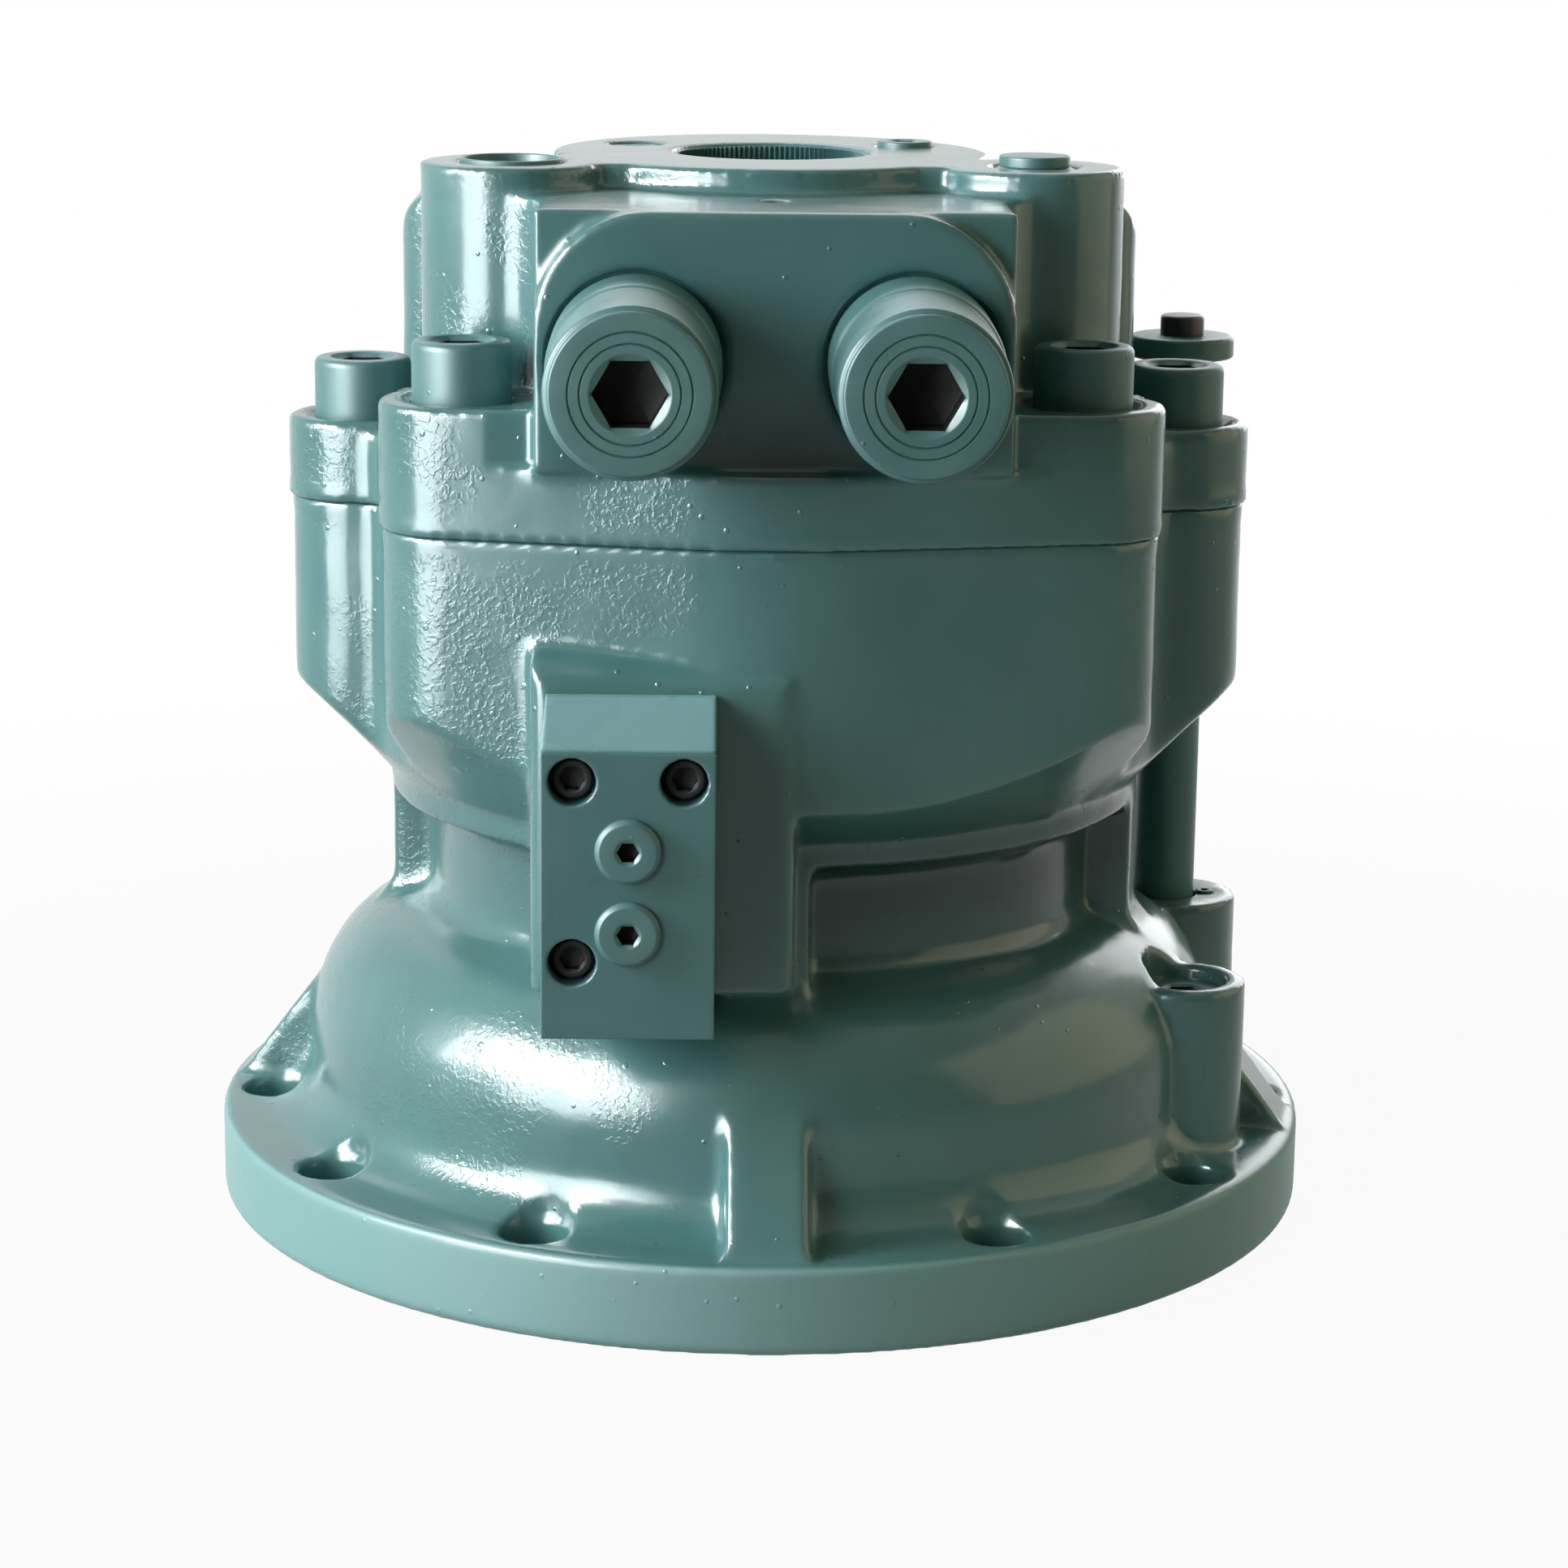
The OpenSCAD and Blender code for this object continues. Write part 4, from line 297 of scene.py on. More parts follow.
# Face-milled grey iron, left bare and wiped with oil, is a dull grey. The cutter leaves faint rings in it,
# here about 4 mm apart, coarser than real ones, to show.
milled_iron = bare("face_milled_grey_iron")
m = milled_iron
where = put(m, "ShaderNodeTexCoord", {})["Object"]
cutter = put(
    m,
    "ShaderNodeTexWave",
    {"Vector": where, "Scale": 1000 / 14, "Distortion": 1.5, "Detail": 2},
    wave_type="RINGS",
    rings_direction="Z",
)["Fac"]
graphite = put(m, "ShaderNodeTexNoise", {"Vector": where, "Scale": 1000 / 1.5, "Detail": 3})["Fac"]
tint = put(
    m, "ShaderNodeMix", {0: graphite, 6: hex_colour("#6d6c69"), 7: hex_colour("#8d8c89")}, data_type="RGBA"
)[2]
lay = put(m, "ShaderNodeMath", {0: cutter, 1: 0.6, 2: graphite}, operation="MULTIPLY_ADD")["Value"]
normal = put(m, "ShaderNodeBump", {"Height": lay, "Strength": 0.3, "Distance": 0.1 * MM})["Normal"]
surface = put(
    m, "ShaderNodeBsdfPrincipled", {"Base Color": tint, "Metallic": 1.0, "Roughness": 0.42, "Normal": normal}
)["BSDF"]
put(m, "ShaderNodeOutputMaterial", {"Surface": surface})
motor_casing.data.materials.append(milled_iron)
# Milled or bored, in mm: the mounting face with its pilot, the bores above the bearing, the piston's bore.
mounting_face_z, pilot_r, pilot_z = 0.6, 124, 8.6
bearing_z, inner_bores_r = 76, 90
piston_bore_z, piston_bore_r = 176, 99.8
for face in motor_casing.data.polygons:
    x, y, z = face.center * 1000
    r = math.hypot(x, y)
    on_flange = z < mounting_face_z or (r < pilot_r and z < pilot_z)
    in_bores = (r < inner_bores_r and z > bearing_z) or (r < piston_bore_r and z > piston_bore_z)
    if on_flange or in_bores:
        face.material_index = 1

# Drive shaft and its seal
# Case-hardened steel, turned, with its pinion splines rolled in the lower end; the seal is nitrile rubber
# on a pressed case, kept in place by a snap ring.


def worked_metal(name, low, high, grain_mm, stretch, roughness, bump_mm):
    """A bare metal. Its marks are grain_mm wide and drawn out along X, Y and Z by stretch."""
    metal = bare(name)
    at = put(metal, "ShaderNodeTexCoord", {})["Object"]
    drawn = put(
        metal, "ShaderNodeMapping", {"Vector": at, "Scale": [1000 / grain_mm / k for k in stretch]}
    )["Vector"]
    marks = put(
        metal, "ShaderNodeTexNoise", {"Vector": drawn, "Scale": 1.0, "Detail": 3, "Roughness": 0.6}
    )["Fac"]
    blush = put(metal, "ShaderNodeTexNoise", {"Vector": at, "Scale": 1000 / 30, "Detail": 2})["Fac"]
    both = put(metal, "ShaderNodeMath", {0: marks, 1: blush, 2: 0.2}, operation="MULTIPLY_ADD")["Value"]
    shade = put(
        metal, "ShaderNodeMix", {0: both, 6: hex_colour(low), 7: hex_colour(high)}, data_type="RGBA"
    )[2]
    dull = put(
        metal, "ShaderNodeMapRange", {0: marks, 1: 0.3, 2: 0.7, 3: roughness * 0.8, 4: roughness * 1.2}
    )["Result"]
    lift = put(
        metal, "ShaderNodeBump", {"Height": marks, "Strength": 0.5, "Distance": bump_mm * MM}
    )["Normal"]
    body = put(
        metal,
        "ShaderNodeBsdfPrincipled",
        {"Base Color": shade, "Metallic": 1.0, "Roughness": dull, "Normal": lift},
    )["BSDF"]
    put(metal, "ShaderNodeOutputMaterial", {"Surface": body})
    return metal


def finish(material, *names):
    """Gives pieces of the CAD, kept as they are, their material."""
    for name in names:
        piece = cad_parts[name]
        piece.data.materials.clear()
        piece.data.materials.append(material)


# Turned alloy steel keeps fine rings round its axis, here 0.8 mm apart, coarser than real ones, to show.
turned_steel = worked_metal("turned_alloy_steel", "#7d8085", "#a5a8ac", 0.8, (12, 12, 1), 0.28, 0.05)
finish(turned_steel, "drive_shaft")

# Moulded nitrile rubber is a soft grey-black with a fine even grain and a faint bloom.
rubber = bare("moulded_nitrile_rubber")
m = rubber
where = put(m, "ShaderNodeTexCoord", {})["Object"]
bloom = put(m, "ShaderNodeTexNoise", {"Vector": where, "Scale": 1000 / 12, "Detail": 3})["Fac"]
grain = put(m, "ShaderNodeTexNoise", {"Vector": where, "Scale": 1000 / 0.8, "Detail": 2})["Fac"]
tint = put(
    m, "ShaderNodeMix", {0: bloom, 6: hex_colour("#17181a"), 7: hex_colour("#2b2d30")}, data_type="RGBA"
)[2]
normal = put(m, "ShaderNodeBump", {"Height": grain, "Strength": 0.3, "Distance": 0.05 * MM})["Normal"]
surface = put(
    m, "ShaderNodeBsdfPrincipled", {"Base Color": tint, "Roughness": 0.55, "Normal": normal, "IOR": 1.52}
)["BSDF"]
put(m, "ShaderNodeOutputMaterial", {"Surface": surface})
finish(rubber, "shaft_seal", "casing_seal", "brake_piston_seals")

# Shot peening leaves spring steel a dark grey covered in small even dents.
spring_steel = worked_metal("shot_peened_spring_steel", "#3a3c40", "#5b5e63", 0.7, (1, 1, 1), 0.36, 0.06)
finish(spring_steel, "snap_ring")

# Bearings
# Two roller bearings of through-hardened chrome steel with cages pressed from mild steel sheet. The lower
# one, with tapered rollers, takes the shaft's thrust.

# Ground and honed chrome steel is the brightest metal here, with a hint of rings.
bearing_steel = worked_metal("ground_chrome_steel", "#a9acb0", "#c9cbce", 0.6, (9, 9, 1), 0.14, 0.02)
finish(bearing_steel, "lower_bearing_cup", "lower_bearing_cone", "lower_bearing_rollers")
finish(bearing_steel, "upper_bearing_outer", "upper_bearing_inner", "upper_bearing_rollers")

# Pressed mild steel is a plain light grey, faintly streaked along the shaft.
pressed_steel = worked_metal("pressed_mild_steel", "#85878a", "#a2a3a5", 1.2, (1, 1, 4), 0.34, 0.04)
finish(pressed_steel, "lower_bearing_cage", "upper_bearing_cage")

# Rotating group
# Nine pistons run in a nodular iron block on a nitrided swash plate. Their shoes, the ball that holds the
# retainer plate and the valve plate are bronze or faced with it.

# Nitriding turns ground steel a darker grey.
nitrided = worked_metal("nitrided_ground_steel", "#5d6063", "#7c7f82", 0.9, (1, 8, 1), 0.24, 0.03)
finish(nitrided, "swash_plate", "retainer_plate")

# Aluminium bronze is a dull gold that keeps the tool's rings.
bronze = worked_metal("turned_aluminium_bronze", "#8f6a35", "#b98f52", 0.8, (7, 7, 1), 0.26, 0.04)
finish(bronze, "piston_shoes", "retainer_ball", "valve_plate")

# Honed hardened steel is bright, with very fine marks.
honed = worked_metal("honed_hardened_steel", "#9da0a4", "#bfc2c5", 0.5, (6, 6, 1), 0.16, 0.02)
finish(honed, "pistons")

# Machined nodular iron is a duller, darker grey than steel.
nodular_iron = worked_metal("machined_nodular_iron", "#66676a", "#86878a", 1.0, (9, 9, 1), 0.33, 0.05)
finish(nodular_iron, "cylinder_block", "brake_piston")
finish(spring_steel, "block_spring")

# Parking brake
# Steel plates faced with brown paper lining turn with the block between plain steel plates; springs press
# the brake piston on them until oil lifts it.

# Resin-bonded paper is a dull brown felt of fibres about 1.4 mm long.
lining = bare("resin_bonded_paper_lining")
m = lining
where = put(m, "ShaderNodeTexCoord", {})["Object"]
fibre = put(
    m, "ShaderNodeTexNoise", {"Vector": where, "Scale": 1000 / 1.4, "Detail": 4, "Distortion": 1.5}
)["Fac"]
tint = put(
    m, "ShaderNodeMix", {0: fibre, 6: hex_colour("#4a3722"), 7: hex_colour("#7d6141")}, data_type="RGBA"
)[2]
normal = put(m, "ShaderNodeBump", {"Height": fibre, "Strength": 0.5, "Distance": 0.12 * MM})["Normal"]
surface = put(
    m, "ShaderNodeBsdfPrincipled", {"Base Color": tint, "Roughness": 0.75, "Normal": normal}
)["BSDF"]
put(m, "ShaderNodeOutputMaterial", {"Surface": surface})
finish(lining, "friction_plates")


def pressed_spring(node):
    """A coil spring of the CAD, copied in spring steel and carried by the housing in its place."""
    spring = bpy.data.objects.new(node + "_wound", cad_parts[node].data.copy())
    bpy.context.scene.collection.objects.link(spring)
    spring.data.materials.clear()
    spring.data.materials.append(spring_steel)
    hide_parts(node)
    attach(spring, "housing")
    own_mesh(spring)


pressed_spring("brake_springs")

# Cold rolled sheet keeps long straight lines from the rollers.
rolled_steel = worked_metal("cold_rolled_steel", "#8b8d90", "#aaacae", 0.9, (1, 10, 1), 0.27, 0.03)
finish(rolled_steel, "separator_plates")

# Valve casing
# The second iron casting, bolted on top: front pad for the relief valves, two corner columns, the deck
# with its port, and the rear block with the main ports. Band, seats, pad face and deck top are machined.


def valve_casing_cast(p):
    """Shares for points in mm: as cast, but for joint band, pad face, deck top, rear face and port."""
    x, y, z = p.T
    radius = np.hypot(x, y)
    rough = ramp(z, 212, 214) * (1 - ramp(z, 301, 302.5)) * (1 - ramp(y, 108, 110)) * (radius >= 32)
    rough = rough * np.maximum(ramp(y, -107, -105), 1 - ramp(z, 227, 230))
    deck_rim = ramp(z, 292, 298) * 0.5
    seats = (1 - ramp(np.abs(z - 243), 3, 6)) * ramp(radius, 96, 100) * 0.5
    step_hole = np.hypot(x, y + 78) < 7
    return rough, rough * (1 - np.maximum(deck_rim, seats)) * (1 - step_hole)


valve_casing = skin_over("valve_casing", "valve_casing_skin", 1.1, 8, valve_casing_cast, 0.2, 170000)
valve_casing.data.materials.append(enamel_on_casting)
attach(valve_casing, "housing")

# The ribbed liner in the deck's port carries the same enamel.
finish(enamel_on_casting, "port_liner")

# Casing screws
# Six M18 socket head screws of black 12.9 steel, cold headed with a rounded rim and painted over in place.
crease = math.radians(32)


def spun(name, outline, facing, places, around=96):
    """A turned piece in mm. outline lists radius, height, corner rounding and whether that ring is six-sided.

    The walls and floor of a six-sided socket take the piece's second material.
    """
    corner_steps = 6
    rings = []
    closed = outline[0][0] > 0
    for k, (r, h, rounding, six) in enumerate(outline):
        if not rounding:
            rings.append((r, h, six))
            continue
        corner = np.array((r, h), dtype=float)
        before = np.array(outline[k - 1][:2], dtype=float) - corner
        after = np.array(outline[(k + 1) % len(outline)][:2], dtype=float) - corner
        start = corner + before * min(0.48, rounding / np.hypot(*before))
        stop = corner + after * min(0.48, rounding / np.hypot(*after))
        for t in np.linspace(0, 1, corner_steps):
            rings.append((*(start * (1 - t) ** 2 + 2 * corner * t * (1 - t) + stop * t**2), six))
    made = bmesh.new()
    for x, y, z in places:
        loops = []
        for r, h, six in rings:
            loop = []
            for k in range(around if r > 0 else 1):
                a = 2 * math.pi * k / around
                sixth = math.pi / 3
                wide = r / math.cos(a % sixth - sixth / 2) if six else r
                px, py, pz = wide * math.cos(a), wide * math.sin(a), h
                if facing == "front":
                    px, py, pz = px, -pz, py
                loop.append(made.verts.new(((x + px) * MM, (y + py) * MM, (z + pz) * MM)))
            loops.append(loop)
        for i in range(len(loops) if closed else len(loops) - 1):
            low, high = loops[i], loops[(i + 1) % len(loops)]
            in_socket = rings[i][2] and (rings[(i + 1) % len(rings)][2] or len(high) == 1)
            for k in range(around):
                n = (k + 1) % around
                corners = [low[k % len(low)], low[n % len(low)], high[n % len(high)], high[k % len(high)]]
                corners = [v for at, v in enumerate(corners) if v not in corners[:at]]
                if len(corners) > 2:
                    made.faces.new(corners).material_index = int(in_socket)
    bmesh.ops.recalc_face_normals(made, faces=made.faces)
    mesh = bpy.data.meshes.new(name)
    made.to_mesh(mesh)
    made.free()
    mesh.shade_smooth()
    mesh.set_sharp_from_angle(angle=crease)
    piece = bpy.data.objects.new(name, mesh)
    bpy.context.scene.collection.objects.link(piece)
    return piece


def joined(name, pieces):
    """Several meshes as one piece, as like fasteners share one node."""
    whole = bmesh.new()
    for piece in pieces:
        whole.from_mesh(piece.data)
        bpy.data.objects.remove(piece)
    mesh = bpy.data.meshes.new(name)
    whole.to_mesh(mesh)
    whole.free()
    piece = bpy.data.objects.new(name, mesh)
    bpy.context.scene.collection.objects.link(piece)
    return piece


def stands_for(piece, node, body, slot, *materials):
    """Puts a new piece in the place of the CAD's node, with its materials in order."""
    for material in materials:
        piece.data.materials.append(material)
    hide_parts(node)
    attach(piece, body)


# The enamel lies smoother on turned steel than on iron: a faint orange peel of 2 mm, with a stray drop here
# and there.
enamel_on_steel = bare("alkyd_enamel_on_turned_steel")
m = enamel_on_steel
where = put(m, "ShaderNodeTexCoord", {})["Object"]
patch = put(m, "ShaderNodeTexNoise", {"Vector": where, "Scale": 1000 / 18, "Detail": 2})["Fac"]
tint = put(
    m, "ShaderNodeMix", {0: patch, 6: hex_colour("#426d6c"), 7: hex_colour("#507b79")}, data_type="RGBA"
)[2]
cells = put(m, "ShaderNodeTexVoronoi", {"Vector": where, "Scale": 1000 / 11, "Randomness": 1})["Distance"]
drops = put(
    m, "ShaderNodeMapRange", {0: cells, 1: 0.03, 2: 0.07, 3: 1.0, 4: 0.0}, interpolation_type="SMOOTHSTEP"
)["Result"]
peel = put(m, "ShaderNodeTexNoise", {"Vector": where, "Scale": 1000 / 2.0, "Detail": 2})["Fac"]
height = put(m, "ShaderNodeMath", {0: peel, 1: 0.22, 2: drops}, operation="MULTIPLY_ADD")["Value"]
normal = put(m, "ShaderNodeBump", {"Height": height, "Strength": 0.5, "Distance": 0.25 * MM})["Normal"]
gloss = put(m, "ShaderNodeMapRange", {0: patch, 1: 0.3, 2: 0.7, 3: 0.36, 4: 0.46})["Result"]
surface = put(
    m, "ShaderNodeBsdfPrincipled", {"Base Color": tint, "Roughness": gloss, "Normal": normal, "IOR": 1.45}
)["BSDF"]
put(m, "ShaderNodeOutputMaterial", {"Surface": surface})

# The spray didn't reach into the sockets, where the screws keep their black oxide, dull, oily and almost
# without colour.
black_oxide = bare("black_oxide_on_steel")
m = black_oxide
where = put(m, "ShaderNodeTexCoord", {})["Object"]
stain = put(m, "ShaderNodeTexNoise", {"Vector": where, "Scale": 1000 / 2.5, "Detail": 3})["Fac"]
tint = put(
    m, "ShaderNodeMix", {0: stain, 6: hex_colour("#050908"), 7: hex_colour("#0f1715")}, data_type="RGBA"
)[2]
normal = put(m, "ShaderNodeBump", {"Height": stain, "Strength": 0.2, "Distance": 0.1 * MM})["Normal"]
surface = put(
    m, "ShaderNodeBsdfPrincipled", {"Base Color": tint, "Roughness": 0.6, "Normal": normal, "IOR": 1.3}
)["BSDF"]
put(m, "ShaderNodeOutputMaterial", {"Surface": surface})

corner_seat, side_seat, thread_end, circle_r = 241.5, 229.5, 175, 118
screws = []
for seat, angles in ((corner_seat, (45, -45, 135, -135)), (side_seat, (76, -76))):
    shank = seat - thread_end
    outline = [
        (0, -shank, 0, 0), (7.6, -shank, 0, 0), (9, 1.4 - shank, 0, 0), (9, 0, 0, 0), (13.1, 0, 0, 0),
        (13.5, 0.4, 0, 0), (13.5, 18, 2.4, 0), (9.2, 18, 0.4, 0), (8.6, 17.5, 0, 0), (7, 16.6, 0, 1),
        (7, 9, 0, 1), (0, 7.4, 0, 0),
    ]
    for a in angles:
        x, y = circle_r * math.sin(math.radians(a)), -circle_r * math.cos(math.radians(a))
        screws.append(spun("screw", outline, "up", [(x, y, seat)], 72))
casing_screws = joined("casing_screws_headed", screws)
casing_screws.data.set_sharp_from_angle(angle=crease)
stands_for(casing_screws, "casing_screws", "housing", "paint", enamel_on_steel, black_oxide)

# Relief valves
# Two long screwed cartridges of turned steel, with a hexagon socket in a face that the lathe left two rings
# on. Inside each, a hardened poppet is held on its seat by a spring.
relief_x, relief_z = 36.5, 258
for side, word in ((-1, "left"), (1, "right")):
    outline = [
        (0, 112, 0, 0), (9.2, 112, 0, 0), (9.2, 62, 0, 0), (16.2, 62, 0, 0), (16.8, 62.6, 0, 0),
        (16.8, 112, 0, 0), (22.2, 112, 0, 0), (22.8, 112.6, 0, 0), (22.8, 138, 0.9, 0),
        (21.9, 139.2, 0.5, 0), (21.9, 174.8, 1.1, 0), (20.7, 175.2, 0.25, 0), (20.4, 177, 0.5, 0),
        (15.85, 177, 0, 0), (15.5, 176.4, 0, 0), (15.15, 177, 0, 0), (12.95, 177, 0, 0),
        (12.6, 176.4, 0, 0), (12.25, 177, 0, 0), (10.3, 177, 0.3, 0), (8.3, 175.9, 0, 1),
        (8.3, 165.2, 0, 1), (0, 163, 0, 0),
    ]
    place = (side * relief_x, 0, relief_z)
    relief = spun("relief_valve_" + word + "_turned", outline, "front", [place], 144)
    stands_for(relief, "relief_valve_" + word, "housing", "paint", enamel_on_steel, black_oxide)
finish(honed, "relief_seats", "relief_poppet_left", "relief_poppet_right")
for word in ("left", "right"):
    pressed_spring("relief_spring_" + word)

# Brake valve
# A sawn and milled steel block on the front boss, held by three screws deep in counterbores, out of the
# spray's reach. Two plugs with bevelled rims close its bores; a sprung spool works behind the upper one.


def milled_all_over(p):
    """No point is rough, and every edge is only just broken."""
    return np.zeros(len(p)), np.full(len(p), 0.25)


# On milled steel the enamel is thin enough to show the cutter's passes, here 1.1 mm apart, coarser than real
# ones, to show. The upward face is painted paler: a painted reflection of the bright back of the room.
enamel_on_block = bare("alkyd_enamel_on_milled_steel")
m = enamel_on_block
where = put(m, "ShaderNodeTexCoord", {})["Object"]
patch = put(m, "ShaderNodeTexNoise", {"Vector": where, "Scale": 1000 / 30, "Detail": 2})["Fac"]
wet = put(
    m, "ShaderNodeMix", {0: patch, 6: hex_colour("#466f6e"), 7: hex_colour("#527c7b")}, data_type="RGBA"
)[2]
height_there = put(m, "ShaderNodeSeparateXYZ", {0: where})["Z"]
# Painted reflection: above 163.2 mm the paint turns a pale blue-green.
top = put(m, "ShaderNodeMapRange", {0: height_there, 1: 163.2 * MM, 2: 163.7 * MM})["Result"]
tint = put(m, "ShaderNodeMix", {0: top, 6: wet, 7: hex_colour("#7fa6a9")}, data_type="RGBA")[2]
passes = put(m, "ShaderNodeMapping", {"Vector": where, "Scale": (1000 / 22, 1000 / 1.1, 1000 / 22)})["Vector"]
cutter = put(m, "ShaderNodeTexNoise", {"Vector": passes, "Scale": 1.0, "Detail": 2})["Fac"]
peel = put(m, "ShaderNodeTexNoise", {"Vector": where, "Scale": 1000 / 2.4, "Detail": 2})["Fac"]
height = put(m, "ShaderNodeMath", {0: cutter, 1: 0.12, 2: peel}, operation="MULTIPLY_ADD")["Value"]
normal = put(m, "ShaderNodeBump", {"Height": height, "Strength": 0.2, "Distance": 0.1 * MM})["Normal"]
gloss = put(m, "ShaderNodeMapRange", {0: patch, 1: 0.3, 2: 0.7, 3: 0.26, 4: 0.34})["Result"]
surface = put(
    m, "ShaderNodeBsdfPrincipled", {"Base Color": tint, "Roughness": gloss, "Normal": normal, "IOR": 1.42}
)["BSDF"]
put(m, "ShaderNodeOutputMaterial", {"Surface": surface})
brake_block = skin_over("brake_valve_block", "brake_valve_block_milled", 0.5, 4, milled_all_over, 0, 60000)
brake_block.data.materials.append(enamel_on_block)
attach(brake_block, "housing")

outline = [
    (0, 111.2, 0, 0), (3.2, 111.2, 0, 0), (3.7, 111.7, 0, 0), (3.7, 149.2, 0, 0), (5, 149.2, 0, 0),
    (5.3, 149.5, 0, 0), (5.3, 154.2, 0.8, 0), (3.6, 154.2, 0.3, 0), (2.8, 153.6, 0, 1), (2.8, 151, 0, 1),
    (0, 150.4, 0, 0),
]
places = [(-51.5, 0, 155.5), (-22.5, 0, 155.5), (-51.5, 0, 107.5)]
block_screws = spun("brake_valve_screws_headed", outline, "front", places, 48)
stands_for(block_screws, "brake_valve_screws", "housing", "paint", black_oxide, black_oxide)

outline = [
    (0, 149.8, 0, 0), (5.8, 149.8, 0, 0), (6.2, 150.2, 0, 0), (6.2, 158, 0, 0), (8.2, 158.02, 0, 0),
    (8.6, 158.3, 0, 0), (8.6, 159.5, 0.3, 0), (7.5, 160.6, 0.35, 0), (3.5, 160.6, 0.25, 0),
    (2.5, 159.9, 0, 1), (2.5, 155.4, 0, 1), (0, 154.6, 0, 0),
]
places = [(-37, 0, 137.5), (-37, 0, 115.5)]
block_plugs = spun("brake_valve_plugs_turned", outline, "front", places, 72)
stands_for(block_plugs, "brake_valve_plugs", "housing", "paint", enamel_on_steel, black_oxide)
finish(honed, "brake_valve_spool")
pressed_spring("brake_valve_spring")

# Deck plugs and make-up valves
# Four steel plugs in the deck: the front two close the make-up check valves, which are hardened cups on
# springs, the rear two close cross drillings. The left ones are sunk, the right ones stand proud.
deck_z = 303.5
outline = [
    (0, -16, 0, 0), (10.4, -16, 0, 0), (11.8, -14.6, 0, 0), (11.8, -4.8, 0, 0), (14.3, -4.8, 0, 0),
    (14.3, 0.9, 0.5, 0), (13.1, 0.9, 0.5, 0), (12.7, -3.2, 0.5, 0), (6.6, -3.2, 0.3, 0), (5.1, -4, 0, 1),
    (5.1, -11, 0, 1), (0, -12, 0, 0),
]
plug = spun("deck_plug_front_left_turned", outline, "up", [(-72, -42, deck_z)])
stands_for(plug, "deck_plug_front_left", "housing", "paint", enamel_on_steel, black_oxide)

outline = [
    (0, -16, 0, 0), (10.4, -16, 0, 0), (11.8, -14.6, 0, 0), (11.8, -1.2, 0, 0), (9.6, 0, 0, 0),
    (9.8, 0.2, 0, 0), (9.8, 3, 0.7, 0), (0, 3, 0, 0),
]
plug = spun("deck_plug_front_right_turned", outline, "up", [(72, -42, deck_z)])
stands_for(plug, "deck_plug_front_right", "housing", "paint", enamel_on_steel)

outline = [
    (0, -10, 0, 0), (7.2, -10, 0, 0), (7.9, -9.3, 0, 0), (7.9, -1, 0.6, 0), (5, -1, 0.3, 0),
    (3.9, -1.6, 0, 1), (3.9, -5, 0, 1), (0, -5.8, 0, 0),
]
plug = spun("deck_plug_rear_left_turned", outline, "up", [(-39, 22, deck_z)], 72)
stands_for(plug, "deck_plug_rear_left", "housing", "paint", enamel_on_steel, black_oxide)

outline = [
    (0, -10, 0, 0), (7.2, -10, 0, 0), (7.9, -9.3, 0, 0), (7.9, 1.5, 0.6, 0), (5, 1.5, 0.3, 0),
    (3.9, 0.9, 0, 1), (3.9, -5, 0, 1), (0, -5.8, 0, 0),
]
plug = spun("deck_plug_rear_right_turned", outline, "up", [(39, 22, deck_z)], 72)
stands_for(plug, "deck_plug_rear_right", "housing", "paint", enamel_on_steel, black_oxide)

finish(honed, "make_up_poppet_left", "make_up_poppet_right")
for word in ("left", "right"):
    pressed_spring("make_up_spring_" + word)

# Base plug
# A drain plug sunk in the front right boss, of turned steel with a hexagon socket.
outline = [
    (0, -21, 0, 0), (7.4, -21, 0, 0), (8.2, -20.2, 0, 0), (8.2, -5.8, 0, 0), (11.6, -5.8, 0, 0),
    (11.6, -3.9, 0.6, 0), (6.2, -3.9, 0.4, 0), (4.7, -4.6, 0, 1), (4.7, -10.8, 0, 1), (0, -11.6, 0, 0),
]
plug = spun("base_plug_turned", outline, "up", [(120.5, -46, 73)])
stands_for(plug, "base_plug", "housing", "paint", enamel_on_steel, black_oxide)

# Level gauge
# A drawn steel pipe stands in the rear right boss, with a small screw beside it. The gauge in it lifts out by
# its knob of moulded resin: below that are a cap, painted over with the pipe, and a bare rod with two marks.
gauge_x, gauge_y, pipe_top_z = 124, 43, 240
outline = [(7.8, 61.4, 0, 0), (9.3, 61.4, 0.3, 0), (9.3, pipe_top_z, 0.4, 0), (7.8, pipe_top_z, 0.4, 0)]
pipe = spun("gauge_pipe_drawn", outline, "up", [(gauge_x, gauge_y, 0)])
stands_for(pipe, "gauge_pipe", "housing", "paint", enamel_on_steel)

outline = [
    (0, -9, 0, 0), (2.0, -9, 0, 0), (2.3, -8.7, 0, 0), (2.3, 0.3, 0.3, 0), (1.5, 0.3, 0, 0),
    (1.15, 0, 0, 1), (1.15, -3, 0, 1), (0, -3.4, 0, 0),
]
screw = spun("gauge_boss_screw_turned", outline, "up", [(136.8, 43, 75)], 36)
stands_for(screw, "gauge_boss_screw", "housing", "paint", enamel_on_steel, black_oxide)

